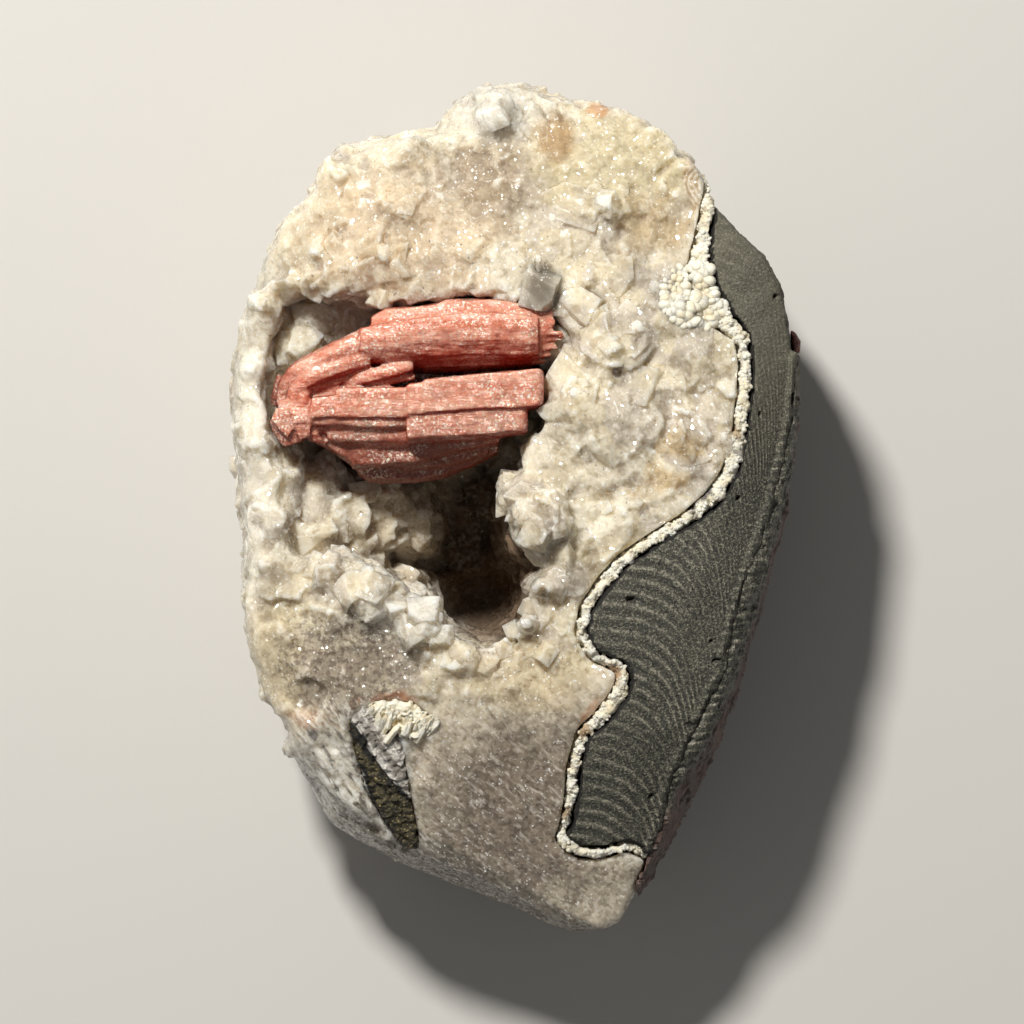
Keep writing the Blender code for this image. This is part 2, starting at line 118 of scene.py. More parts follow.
# Lumps that the vug's walls bulge into it with: centre (x, y, z), then half the size each way
VUG_FILLS = [
    (-26.0, 0.0, 26.0, 6.0, 9.0, 7.0), (-20.0, -0.5, 22.5, 7.0, 7.0, 7.0), (-14.0, -0.5, 18.5, 5.0, 6.0, 6.0),
    (-27.0, 20.5, 26.5, 5.5, 7.0, 6.5), (-21.5, 25.0, 27.0, 7.0, 4.5, 6.0), (6.0, 20.5, 31.0, 4.0, 4.0, 6.0),
    (-5.0, 28.0, 33.0, 13.0, 2.2, 5.0), (-25.0, 14.0, 27.0, 5.0, 6.0, 5.0), (-28.5, 2.0, 28.0, 3.0, 9.0, 7.0),
]

# Where the druse is smooth: centre, radius across and along, share of the relief that is left
CALM_PLACES = [
    ((-13.0, 37.0), 17.0, 9.5, 0.45), ((-1.0, 40.0), 8.0, 10.0, 0.5), ((14.0, 11.0), 13.0, 16.0, 0.75),
    ((11.0, 33.0), 9.0, 8.0, 0.6), ((-33.0, 6.0), 3.4, 26.0, 0.5), ((-14.0, -19.0), 14.0, 6.0, 0.45),
    ((-5.0, -9.0), 6.0, 8.0, 0.4),
]

# The saw's marks run level as far as x = SAW_ARCS[0] + SAW_ARCS[1] * y, then fall away to the right
SAW_ARCS = (17.3, 0.22, 11.0)
SAW_STRIP = (30.0, 0.302)  # right of the line x = 30.0 + 0.302 * y they are short and level
# Places seen from above: centre, radius across and along
VUG_HOLE = ((-3.0, -6.0), 7.5, 12.0)  # the vug's deepest part
SUGAR = ((-21.5, -19.0), 10.5, 8.0)  # dark speckled matrix
FLAKES = ((-20.5, -31.5), 8.0, 8.0)  # white flakes round the dark inclusion
SCRATCH_TURN = -0.82  # the way of the scratches on the sawn quartz
# Where the inclusion's green streak starts, and its way (a unit vector)
STREAK = ((-20.3, -28.8), (0.516, -0.857))
STREAK_TURN = math.atan2(STREAK[1][1], STREAK[1][0])
STREAK_SPREAD = 0.085  # how much half its width grows per distance
RIND_SPOTS = [  # coloured spots: place, radius, colour
    ((23.4, 2.2), 1.3, (0.035, 0.035, 0.06)), ((22.0, 0.4), 0.8, (0.05, 0.05, 0.08)),
    ((27.6, 9.6), 1.0, (0.40, 0.28, 0.16)), ((12.2, -20.4), 1.3, (0.42, 0.24, 0.12)),
    ((8.6, -27.6), 1.2, (0.40, 0.26, 0.14)), ((6.2, -38.0), 1.0, (0.36, 0.25, 0.15)),
]

CAMERA_HEIGHT = 1000.0
SENSOR = 36.0
FACE_LEVEL = 36.0  # the level at which the frame's side covers FRAME_SIDE
FRAME_SIDE = 128.0
FRAME_CENTRE = (-0.44, -0.25)
FLOOR_SIZE = 4.0  # metres, as are the floor's level and the main light's distance
FLOOR_LEVEL = -0.00005
KEY_DISTANCE = 0.75
KEY_COLOUR = (1.0, 0.965, 0.895)
ROOM_COLOUR = (1.0, 0.98, 0.95, 1.0)


# ---------------------------------------------------------------- modelling helpers

def pick(obj):
    """Makes obj the only selected object and the active one."""
    for other in bpy.context.view_layer.objects:
        other.select_set(False)
    obj.select_set(True)
    bpy.context.view_layer.objects.active = obj


def apply_modifier(obj, kind, **settings):
    """Adds a modifier, sets it and applies it."""
    modifier = obj.modifiers.new(kind.title(), kind)
    for key, value in settings.items():
        setattr(modifier, key, value)
    pick(obj)
    bpy.ops.object.modifier_apply(modifier=modifier.name)


def points_of(obj):
    """The mesh's points in millimetres."""
    flat = np.empty(len(obj.data.vertices) * 3)
    obj.data.vertices.foreach_get("co", flat)
    return flat.reshape(-1, 3) / MM


def move_points(obj, points):
    obj.data.vertices.foreach_set("co", (points * MM).ravel())
    obj.data.update()


def normals_of(obj):
    flat = np.empty(len(obj.data.vertices) * 3)
    obj.data.vertices.foreach_get("normal", flat)
    return flat.reshape(-1, 3)


def copy_of_node(node, name):
    """A separate object with the node's mesh, its loose triangles merged."""
    mesh = frame["nodes"][node].data.copy()
    mesh.name = name
    obj = bpy.data.objects.new(name, mesh)
    bpy.context.scene.collection.objects.link(obj)
    mesh.materials.clear()
    pick(obj)
    bpy.ops.object.mode_set(mode="EDIT")
    bpy.ops.mesh.select_all(action="SELECT")
    bpy.ops.mesh.remove_doubles(threshold=1e-6)
    bpy.ops.object.mode_set(mode="OBJECT")
    return obj


def remesh(obj, voxel, rounds):
    """Makes the surface anew from voxels, then smooths it in some rounds."""
    apply_modifier(obj, "REMESH", mode="VOXEL", voxel_size=voxel * MM, adaptivity=0.0)
    if rounds:
        apply_modifier(obj, "SMOOTH", factor=0.5, iterations=rounds)


def finish_piece(obj, material, replaced=(), angle=None):
    """Gives a piece its material and ties it to the frame."""
    obj.data.materials.clear()
    obj.data.materials.append(material)
    pick(obj)
    if angle is None:
        bpy.ops.object.shade_smooth()
    else:
        bpy.ops.object.shade_smooth_by_angle(angle=math.radians(angle))
    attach(obj, "root")
    if replaced:
        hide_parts(*replaced)


def inside(outline, x, y):
    """Whether points are inside a closed outline."""
    hit = np.zeros(np.shape(x), bool)
    for (x1, y1), (x2, y2) in zip(outline, outline[1:] + outline[:1]):
        if y1 == y2:
            continue
        crosses = (y1 > y) != (y2 > y)
        hit ^= crosses & (x < (x2 - x1) * (y - y1) / (y2 - y1) + x1)
    return hit


def ramp(value, start, end):
    t = np.clip((value - start) / (end - start), 0.0, 1.0)
    return t * t * (3.0 - 2.0 * t)


# ---------------------------------------------------------------- material helpers

def add(tree, kind, inputs=None, **settings):
    """Adds a shader node. inputs maps a socket's name or number to a value or to another node's output."""
    made = tree.nodes.new(kind)
    for key, value in settings.items():
        setattr(made, key, value)
    for key, value in (inputs or {}).items():
        socket = made.inputs[key]
        if isinstance(value, bpy.types.NodeSocket):
            tree.links.new(value, socket)
        else:
            socket.default_value = value
    return made


def math_node(tree, operation, *values):
    return add(tree, "ShaderNodeMath", dict(enumerate(values)), operation=operation).outputs[0]


def times(tree, *values):
    return math_node(tree, "MULTIPLY", *values)


def times_plus(tree, *values):
    """The first value times the second plus the third."""
    return math_node(tree, "MULTIPLY_ADD", *values)


def vector_node(tree, operation, *values, output="Vector"):
    made = add(tree, "ShaderNodeVectorMath", dict(enumerate(values)), operation=operation)
    return made.outputs[output]


def mix_colour(tree, factor, first, second, blend="MIX"):
    """Mixes two colours, each another node's output or red, green and blue."""
    first, second = (one if isinstance(one, bpy.types.NodeSocket) else (*one, 1.0) for one in (first, second))
    made = add(tree, "ShaderNodeMix", {0: factor, 6: first, 7: second}, data_type="RGBA", blend_type=blend)
    return made.outputs[2]


def stretch(tree, value, low, high, to_low=0.0, to_high=1.0):
    """Maps low..high onto to_low..to_high with a soft ramp."""
    made = add(
        tree, "ShaderNodeMapRange", {0: value, 1: low, 2: high, 3: to_low, 4: to_high},
        interpolation_type="SMOOTHSTEP",
    )
    return made.outputs[0]


def noise_node(tree, where, scale, detail=3.0, roughness=0.55):
    """Noise with its scale given as waves per metre."""
    settings = {"Vector": where, "Scale": scale, "Detail": detail, "Roughness": roughness}
    return add(tree, "ShaderNodeTexNoise", settings).outputs[0]


def attribute(tree, name):
    return add(tree, "ShaderNodeAttribute", attribute_name=name).outputs["Fac"]


def apart(tree, vector):
    """The three parts of a vector."""
    return add(tree, "ShaderNodeSeparateXYZ", {0: vector}).outputs


def along_way(tree, where, turn, stretches):
    """Coordinates turned to a way across the stone and drawn out by the factors along and across it."""
    return add(
        tree, "ShaderNodeMapping",
        {"Vector": where, "Rotation": (0.0, 0.0, turn), "Scale": (*stretches, 1.0)}, vector_type="TEXTURE",
    ).outputs[0]


def speckled(tree, colour, noise_settings, ends, share, tint):
    """Lays a tint over a colour where noise rises between the two ends, with the given share at most.

    noise_settings are coordinates, scale, detail and roughness.
    """
    mask = stretch(tree, noise_node(tree, *noise_settings), *ends, 0.0, share)
    return mix_colour(tree, mask, colour, tint)


def sparks(tree, where, scale, ends, share):
    """A mask of tiny bright cells, used for painted glints."""
    cells = add(tree, "ShaderNodeTexVoronoi", {"Vector": where, "Scale": scale}).outputs["Color"]
    part = add(tree, "ShaderNodeSeparateColor", {0: cells}).outputs[2]
    return stretch(tree, part, *ends, 0.0, share)


def object_coordinates(tree):
    return add(tree, "ShaderNodeTexCoord").outputs["Object"]


def new_group(name, inputs, outputs):
    """An empty shader node group. inputs and outputs are (name, socket type, default)."""
    group = bpy.data.node_groups.new(name, "ShaderNodeTree")
    for direction, sockets in (("INPUT", inputs), ("OUTPUT", outputs)):
        for socket_name, kind, default in sockets:
            kind = f"NodeSocket{kind}"
            socket = group.interface.new_socket(socket_name, in_out=direction, socket_type=kind)
            if default is not None:
                socket.default_value = default
    start = group.nodes.new("NodeGroupInput")
    end = group.nodes.new("NodeGroupOutput")
    return group, start.outputs, end.inputs


def use(tree, group, inputs=None):
    return add(tree, "ShaderNodeGroup", inputs, node_tree=group).outputs


def distance_on_top(tree, where, ellipse):
    """The distance from an ellipse's centre as seen from above, 1 on its border."""
    (x, y), across, along = ellipse
    away = vector_node(tree, "SUBTRACT", where, (x * MM, y * MM, 0.0))
    away = vector_node(tree, "MULTIPLY", away, (1.0 / (across * MM), 1.0 / (along * MM), 0.0))
    return vector_node(tree, "LENGTH", away, output="Value")


def facets_group(name, layers):
    """Micro facets: every cell is a small plane with a tilt of its own.

    layers are how much finer each layer of cells is than the first, and its share of the height.
    """
    group, start, end = new_group(
        name,
        [("Scale", "Float", 1500.0), ("Tilt", "Float", 0.6), ("Glints", "Float", 0.1)],
        [(output, "Float", None) for output in ("Height", "Glint", "Cell", "Edge")],
    )
    where = object_coordinates(group)
    total = 0.0
    for layer, (finer, share) in enumerate(layers):
        scale = times(group, start["Scale"], finer)
        cell = add(group, "ShaderNodeTexVoronoi", {"Vector": where, "Scale": scale})
        away = vector_node(group, "SUBTRACT", where, cell.outputs["Position"])
        way = vector_node(group, "SUBTRACT", cell.outputs["Color"], (0.5, 0.5, 0.5))
        plane = vector_node(group, "DOT_PRODUCT", away, way, output="Value")
        total = times_plus(group, plane, share, total)
        if layer == 0:
            split = add(group, "ShaderNodeSeparateColor", {0: cell.outputs["Color"]}).outputs
            glint = split[1]
            group.links.new(split[0], end["Cell"])
            border = add(
                group, "ShaderNodeTexVoronoi", {"Vector": where, "Scale": scale}, feature="DISTANCE_TO_EDGE",
            ).outputs["Distance"]
            group.links.new(stretch(group, border, 0.04, 0.0), end["Edge"])
    group.links.new(times(group, total, start["Tilt"]), end["Height"])
    rest = math_node(group, "SUBTRACT", 1.0, start["Glints"])
    group.links.new(math_node(group, "GREATER_THAN", glint, rest), end["Glint"])
    return group


# Tints of the quartz, a few of them painted shade: centre, radius across and along, colour, strength, how
# broken its border is
QUARTZ_ZONES = [
    ((-15.0, 34.0), 15.0, 11.0, (0.76, 0.60, 0.42), 0.65, 0.5),  # warm cushion
    ((-2.5, 41.0), 6.5, 6.5, (0.40, 0.31, 0.22), 0.8, 0.5),  # painted shade in the valley below the crest, grey brown
    ((-2.5, 50.0), 6.0, 4.5, (0.78, 0.76, 0.70), 0.7, 0.3),  # clear crest
    ((14.0, 43.0), 14.0, 7.0, (0.66, 0.58, 0.385), 0.75, 0.6),  # cream top
    ((5.0, 46.4), 3.2, 3.6, (0.44, 0.28, 0.13), 0.75, 0.4),  # brown patch
    ((10.6, 50.4), 1.6, 1.2, (0.60, 0.30, 0.12), 0.7, 0.6),  # orange spot at the top edge
    ((17.6, 35.6), 6.0, 5.2, (0.60, 0.45, 0.26), 0.6, 0.9),  # brown hollow
    ((22.0, 41.4), 1.2, 5.0, (0.46, 0.28, 0.12), 0.6, 0.9),  # brown line from the hollow
    ((3.2, 27.4), 3.0, 4.6, (0.17, 0.14, 0.11), 0.8, 0.4),  # smoky crystal
    ((17.9, 3.8), 4.0, 2.6, (0.72, 0.52, 0.26), 0.6, 0.9),  # yellow stains on the hill
    ((20.5, 8.1), 2.6, 3.4, (0.72, 0.52, 0.24), 0.6, 0.9),
    ((12.0, -5.6), 7.0, 3.0, (0.78, 0.64, 0.38), 0.5, 0.9),
    ((-4.2, -10.0), 5.6, 5.2, (0.12, 0.075, 0.042), 0.9, 0.35),  # painted shade in the vug's hole, dark brown
    ((-21.0, -19.5), 9.5, 8.0, (0.33, 0.28, 0.215), 0.85, 0.8),  # dark speckled sugar
    ((-30.0, -17.0), 4.0, 12.0, (0.62, 0.53, 0.36), 0.7, 0.6),  # yellowish left edge
    ((-15.6, -23.9), 4.4, 1.6, (0.44, 0.19, 0.10), 0.8, 0.6),  # orange patch above the inclusion
    ((-11.0, -13.0), 10.0, 4.0, (0.93, 0.90, 0.82), 0.65, 0.4),  # white lower rim of the vug
    ((-33.0, 8.0), 3.6, 24.0, (0.93, 0.89, 0.79), 0.55, 0.5),  # white left rim
    ((2.0, -20.5), 9.0, 5.0, (0.74, 0.62, 0.40), 0.6, 0.7),  # cream below the vug
    ((2.0, -38.0), 17.0, 14.0, (0.285, 0.235, 0.185), 0.92, 0.3),  # sawn grey mauve quartz
    ((11.0, -30.0), 2.4, 8.0, (0.62, 0.34, 0.20), 0.7, 0.8),  # stain along the rind
    ((-25.0, -32.0), 6.0, 6.0, (0.74, 0.71, 0.64), 0.75, 0.7),  # white flaky corner
    ((-25.4, -26.0), 3.0, 1.6, (0.50, 0.30, 0.18), 0.6, 0.9),  # rust above it
]
STEEP_FACET = (0.57, 46.96)  # the slope and the place of the line below which the steep corner is grey, its own lavender grey darkened as painted shade
AGATE = ((24.0, 40.6), 3.6, 0.62)  # banded spot: its centre, its radius and the bands' pitch


def zones_group():
    """Soft stains and tints at their places on the stone, with painted shade in the valley, in the vug's hole
    and on the steep corner.
    """
    group, start, end = new_group("Stone Zones", [("Base", "Color", None)], [("Color", "Color", None)])
    where = object_coordinates(group)
    split = apart(group, where)
    wander = math_node(group, "SUBTRACT", noise_node(group, where, 330.0, 4.0), 0.5)
    colour = start["Base"]
    for (x, y), across, along, tint, strength, broken in QUARTZ_ZONES:
        dx = times_plus(group, split[0], 1.0 / (across * MM), -x / across)
        dy = times_plus(group, split[1], 1.0 / (along * MM), -y / along)
        square = times_plus(group, dx, dx, times(group, dy, dy))
        reach = times_plus(group, wander, 3.0 * broken, math_node(group, "SQRT", square))
        amount = stretch(group, reach, 1.15, 0.45, 0.0, strength)
        colour = mix_colour(group, amount, colour, tint)
    # painted shade: below the line the steep corner turns dark grey
    slope, level = STEEP_FACET
    below = times_plus(group, split[0], slope / MM, level)
    below = times_plus(group, split[1], 1.0 / MM, below)
    below = times_plus(group, wander, 1.2, below)
    colour = mix_colour(group, stretch(group, below, 0.4, -0.4, 0.0, 0.8), colour, (0.17, 0.155, 0.13))
    (x, y), radius, pitch = AGATE
    flat = vector_node(group, "MULTIPLY", where, (1.0, 1.0, 0.0))
    reach = vector_node(group, "DISTANCE", flat, (x * MM, y * MM, 0.0), output="Value")
    reach = times_plus(group, wander, 1.2 * MM, reach)
    wave = math_node(group, "FRACT", math_node(group, "DIVIDE", reach, pitch * MM))
    near = stretch(group, reach, radius * MM, 0.7 * radius * MM, 0.0, 0.5)
    band = mix_colour(group, stretch(group, wave, 0.35, 0.65), (0.52, 0.42, 0.30), (0.90, 0.87, 0.78))
    colour = mix_colour(group, near, colour, band)
    group.links.new(colour, end["Color"])
    return group


def saw_group():
    """The saw's marks on the basalt: arcs that fall away to the right, and level ones along the edge."""
    group, start, end = new_group(
        "Saw Marks", [("Pitch", "Float", 0.00165)], [("Line", "Float", None), ("Groove", "Float", None)],
    )
    where = object_coordinates(group)
    split = apart(group, where)
    x, y = split[0], split[1]
    level_at, level_slope, bend = SAW_ARCS
    past = times_plus(group, y, -level_slope, math_node(group, "SUBTRACT", x, level_at * MM))
    past = math_node(group, "MAXIMUM", past, 0.0)
    fall = math_node(group, "DIVIDE", times(group, past, past), 2.0 * bend * MM)
    steep = times(group, math_node(group, "POWER", fall, 2.0), 2.2 / (bend * MM))
    wobble = times(group, noise_node(group, where, 260.0, 3.0), 0.0007)
    place = math_node(group, "ADD", math_node(group, "ADD", y, fall), math_node(group, "ADD", steep, wobble))
    place = times_plus(group, x, 0.12, place)
    arcs = math_node(group, "FRACT", math_node(group, "DIVIDE", place, start["Pitch"]))
    level = math_node(group, "ADD", times_plus(group, x, -0.10, y), wobble)
    short_pitch = times(group, start["Pitch"], 0.67)
    short = math_node(group, "FRACT", math_node(group, "DIVIDE", level, short_pitch))
    strip_at, strip_slope = SAW_STRIP
    strip = times_plus(group, y, -strip_slope, math_node(group, "SUBTRACT", x, strip_at * MM))
    strip = math_node(group, "ADD", strip, times(group, wobble, 1.5))
    at_edge = stretch(group, strip, -0.0002, 0.0012)
    wave = times_plus(group, math_node(group, "SUBTRACT", short, arcs), at_edge, arcs)
    wave = math_node(group, "ABSOLUTE", math_node(group, "SUBTRACT", wave, 0.5))
    low = stretch(group, y, 0.024, 0.004, 0.25, 0.9)
    dull = stretch(group, noise_node(group, where, 120.0, 2.0), 0.35, 0.6, 0.35, 1.0)
    broken = stretch(group, noise_node(group, where, 620.0, 5.0, 0.75), 0.36, 0.56, 0.0, 1.0)
    strength = times(group, times(group, low, dull), broken)
    line = stretch(group, wave, 0.30, 0.46)
    groove = stretch(group, wave, 0.22, 0.04)
    group.links.new(times(group, line, strength), end["Line"])
    group.links.new(times(group, groove, strength), end["Groove"])
    return group


def basalt_group(saw):
    """The colour and the relief of basalt: salt and pepper grains, paler at the upper end, with saw marks
    whose lines carry painted highlight and whose grooves carry painted shade.
    """
    group, start, end = new_group(
        "Basalt", [("Stone", "Color", (0.1, 0.1, 0.08, 1.0)), ("Pitch", "Float", 0.00165)],
        [("Color", "Color", None), ("Height", "Float", None)],
    )
    where = object_coordinates(group)
    salt = noise_node(group, where, 3600.0, 3.0, 0.8)
    pepper = noise_node(group, where, 2300.0, 4.0, 0.7)
    broad = noise_node(group, where, 160.0, 4.0)
    stone = start["Stone"]
    dark = mix_colour(group, 0.3, stone, (0.0, 0.0, 0.0))
    colour = mix_colour(group, stretch(group, broad, 0.3, 0.7), dark, stone)
    colour = mix_colour(group, stretch(group, salt, 0.52, 0.60, 0.0, 0.9), colour, (0.30, 0.285, 0.22))
    colour = mix_colour(group, stretch(group, pepper, 0.52, 0.64, 0.0, 0.9), colour, (0.010, 0.010, 0.009))
    up = apart(group, where)[1]
    upper = stretch(group, times_plus(group, broad, 0.02, up), 0.012, 0.032, 0.0, 0.45)
    colour = mix_colour(group, upper, colour, (0.20, 0.185, 0.135))
    sawn = use(group, saw, {"Pitch": start["Pitch"]})
    # painted highlight on the saw marks' ridges and painted shade in their grooves, as under grazing light
    painted_saw_highlight = times(group, sawn["Line"], stretch(group, salt, 0.40, 0.58, 0.2, 1.0))
    colour = mix_colour(group, times(group, painted_saw_highlight, 0.8), colour, (0.42, 0.39, 0.31))
    colour = mix_colour(group, times(group, sawn["Groove"], 0.6), colour, (0.016, 0.016, 0.014))
    group.links.new(colour, end["Color"])
    height = times(group, noise_node(group, where, 2900.0, 4.0, 0.7), 0.00035)
    height = times_plus(group, sawn["Groove"], -0.00006, height)
    group.links.new(height, end["Height"])
    return group


def new_material(name):
    made = bpy.data.materials.new(name)
    made.use_nodes = True
    tree = made.node_tree
    shader = tree.nodes["Principled BSDF"]
    return made, tree, shader


def set_shader(tree, shader, **values):
    """Sets the Principled shader's sockets. An underscore in a name stands for a space."""
    for key, value in values.items():
        socket = shader.inputs[key.replace("_", " ")]
        if isinstance(value, bpy.types.NodeSocket):
            tree.links.new(value, socket)
        else:
            socket.default_value = value


def bump(tree, height):
    return add(tree, "ShaderNodeBump", {"Height": height, "Strength": 1.0, "Distance": 1.0}).outputs[0]


def quartz_material(name, groups, clear, grains, roughness, reach):
    """Milky quartz, with painted shade down the vug and in its hollows and painted highlights on its edges
    and sparks.

    clear is the share of light that passes straight through, grains the number of small facets per metre and
    their tilt, and reach how far light scatters.
    """
    made, tree, shader = new_material(name)
    where = object_coordinates(tree)
    sizes = bpy.context.scene.specimen.quartz
    small = use(tree, groups["grains"], {"Scale": grains[0], "Tilt": grains[1], "Glints": 0.2})
    broad = use(tree, groups["facets"], {"Scale": 350.0, "Tilt": 1.15, "Glints": 0.25})
    grown = attribute(tree, "druse")
    cloud = noise_node(tree, where, 150.0, 4.0, 0.6)
    colour = mix_colour(tree, stretch(tree, cloud, 0.35, 0.68), sizes.smoke, sizes.milk)

    # each crystal face has a tone of its own
    tone = attribute(tree, "tone")
    colour = mix_colour(tree, stretch(tree, tone, 0.45, 0.80, 0.0, 0.7), colour, (0.96, 0.91, 0.78))
    colour = mix_colour(tree, stretch(tree, tone, 0.62, 0.25, 0.1, 0.75), colour, (0.66, 0.60, 0.53))
    colour = use(tree, groups["zones"], {"Base": colour})["Color"]
    grain = stretch(tree, small["Cell"], 0.0, 1.0, 0.5, 1.0)
    colour = mix_colour(tree, 0.25, colour, grain, blend="MULTIPLY")
    veil = noise_node(tree, where, 1300.0, 3.0, 0.7)
    colour = mix_colour(tree, stretch(tree, veil, 0.56, 0.72, 0.0, 0.25), colour, (0.93, 0.89, 0.78))
    shade = times(tree, stretch(tree, broad["Cell"], 0.6, 0.0, 0.0, 0.28), grown)
    colour = mix_colour(tree, shade, colour, (0.58, 0.52, 0.45))
    # painted highlight along the borders of the broad facets
    border = times(tree, broad["Edge"], stretch(tree, veil, 0.48, 0.60, 0.0, 0.5))
    colour = mix_colour(tree, times(tree, border, grown), colour, (0.96, 0.92, 0.82))

    # painted highlights on sharp edges, painted shade in hollows, painted glints as sparks, and dark specks
    sharp = add(tree, "ShaderNodeNewGeometry").outputs["Pointiness"]
    colour = mix_colour(tree, stretch(tree, sharp, 0.515, 0.60, 0.0, 0.75), colour, (0.97, 0.94, 0.87))
    colour = mix_colour(tree, stretch(tree, sharp, 0.485, 0.40, 0.0, 0.5), colour, (0.42, 0.33, 0.26))
    patches = stretch(tree, noise_node(tree, where, 700.0, 2.0), 0.40, 0.62)
    painted_glints = times(tree, sparks(tree, where, 5200.0, (0.94, 0.96), 0.85), patches)
    colour = mix_colour(tree, painted_glints, colour, (1.0, 1.0, 0.98))
    colour = speckled(tree, colour, (where, 1900.0, 2.0, 0.4), (0.70, 0.76), 0.6, (0.20, 0.15, 0.11))

    # painted shade: darker down the vug's walls and in its hole
    split = apart(tree, where)
    depth = times_plus(tree, cloud, 0.004, split[2])
    painted_wall_shade = times(tree, stretch(tree, depth, 0.034, 0.026, 0.0, 0.45), grown)
    colour = mix_colour(tree, painted_wall_shade, colour, (0.50, 0.39, 0.28))
    hole = stretch(tree, distance_on_top(tree, where, VUG_HOLE), 1.15, 0.75)
    hole = times(tree, hole, stretch(tree, depth, 0.036, 0.031, 0.0, 0.9))
    colour = mix_colour(tree, hole, colour, (0.13, 0.08, 0.048))

    # dark sugar grains, the flakes by the inclusion and the scratches on the sawn quartz
    grains_dark = stretch(tree, noise_node(tree, where, 1500.0, 2.0, 0.6), 0.48, 0.60, 0.0, 0.6)
    by_sugar = stretch(tree, distance_on_top(tree, where, SUGAR), 1.1, 0.6)
    colour = mix_colour(tree, times(tree, grains_dark, by_sugar), colour, (0.17, 0.125, 0.10))
    flake = noise_node(tree, along_way(tree, where, STREAK_TURN, (7.0, 1.0)), 1100.0, 2.0, 0.6)
    by_wedge = stretch(tree, distance_on_top(tree, where, FLAKES), 1.15, 0.7)
    scratch = noise_node(tree, along_way(tree, where, SCRATCH_TURN, (11.0, 1.0)), 1700.0, 2.0, 0.6)
    sawn = stretch(tree, split[1], -0.0225, -0.026)
    for mark, at_place, ends, share, tint in (
        (flake, by_wedge, (0.48, 0.56), 0.9, (0.90, 0.87, 0.79)),
        (flake, by_wedge, (0.44, 0.36), 0.8, (0.17, 0.16, 0.15)),
        (scratch, sawn, (0.55, 0.68), 0.5, (0.80, 0.74, 0.68)),
        (scratch, sawn, (0.42, 0.30), 0.45, (0.22, 0.17, 0.145)),
    ):
        mask = times(tree, stretch(tree, mark, *ends, 0.0, share), at_place)
        colour = mix_colour(tree, mask, colour, tint)

    worn = stretch(tree, veil, 0.3, 0.7, roughness * 0.6, roughness * 1.6)
    set_shader(
        tree, shader, Base_Color=colour, Roughness=times_plus(tree, small["Glint"], -0.5 * roughness, worn),
        IOR=1.54, Subsurface_Weight=1.0, Subsurface_Radius=(1.0, 0.93, 0.84), Subsurface_Scale=reach,
        Transmission_Weight=clear,
        Normal=bump(tree, times_plus(tree, broad["Height"], grown, small["Height"])),
    )
    return made


def epistilbite_material(groups):
    """Red glassy crystals: saturated deep red as painted shade on faces turned down or away from the light,
    pale salmon on faces turned up towards it, with frost and painted glints in patches on the lit faces.
    """
    made, tree, shader = new_material("epistilbite")
    where = object_coordinates(tree)
    sizes = bpy.context.scene.specimen.sheaf
    facets = use(tree, groups["facets"], {"Scale": 1500.0, "Tilt": 0.5, "Glints": 0.2})
    along = add(tree, "ShaderNodeMapping", {"Vector": where, "Scale": (0.25, 1.6, 1.0)}).outputs[0]
    blood = noise_node(tree, along, 420.0, 5.0, 0.62)
    pale = noise_node(tree, where, 260.0, 5.0, 0.65)
    way = apart(tree, add(tree, "ShaderNodeNewGeometry").outputs["Normal"])
    # painted light and shade: faces turned up and towards the light are pale, the others get painted shade in
    # deep red
    upward = times_plus(tree, way[1], 0.35, way[2])
    upward = times_plus(tree, math_node(tree, "SUBTRACT", pale, 0.5), 1.4, upward)
    painted_lit_side = stretch(tree, upward, 0.05, 0.95)
    warm = mix_colour(tree, stretch(tree, blood, 0.32, 0.66), sizes.red, sizes.salmon)
    colour = mix_colour(tree, painted_lit_side, sizes.painted_shade_red, warm)

    # painted shade: darker down in the vug and on the near side, which faces away from the light
    split = apart(tree, where)
    painted_low_shade = stretch(tree, split[2], 0.0408, 0.035, 0.0, 0.85)
    colour = mix_colour(tree, painted_low_shade, colour, (0.12, 0.020, 0.010))
    painted_front_shade = stretch(tree, times_plus(tree, pale, 0.002, split[1]), 0.0146, 0.0062, 0.0, 0.8)
    colour = mix_colour(tree, painted_front_shade, colour, (0.26, 0.055, 0.03))

    # frost, partly real and partly painted sheen, and painted glints as sparks, in patches on the lit faces
    frost = noise_node(tree, where, 3000.0, 4.0, 0.75)
    patches = times(tree, stretch(tree, pale, 0.40, 0.62, 0.15, 1.0), painted_lit_side)
    frost_and_sheen = times(tree, times(tree, stretch(tree, frost, 0.50, 0.60), patches), 0.75)
    colour = mix_colour(tree, frost_and_sheen, colour, (0.90, 0.72, 0.63))
    painted_glints = times(tree, sparks(tree, where, 4300.0, (0.88, 0.92), 0.9), patches)
    colour = mix_colour(tree, painted_glints, colour, (1.0, 0.93, 0.80))
    colour = speckled(tree, colour, (where, 800.0, 3.0, 0.5), (0.66, 0.78), 0.5, (0.13, 0.03, 0.02))

    lines = times_plus(tree, noise_node(tree, along, 2400.0, 3.0, 0.6), 0.00014, facets["Height"])
    rough = stretch(tree, frost, 0.3, 0.7, 0.14, 0.34)
    set_shader(
        tree, shader, Base_Color=colour, Roughness=times_plus(tree, facets["Glint"], -0.14, rough), IOR=1.51,
        Subsurface_Weight=0.5, Subsurface_Radius=(1.0, 0.22, 0.12), Subsurface_Scale=0.0016,
        Coat_Weight=0.1, Coat_Roughness=0.12, Normal=bump(tree, lines),
    )
    return made


def sawn_stone(tree, groups):
    """The basalt's colour and height in the settings' colour and pitch."""
    sizes = bpy.context.scene.specimen.rock
    return use(tree, groups["basalt"], {"Stone": (*sizes.basalt, 1.0), "Pitch": sizes.saw_pitch})


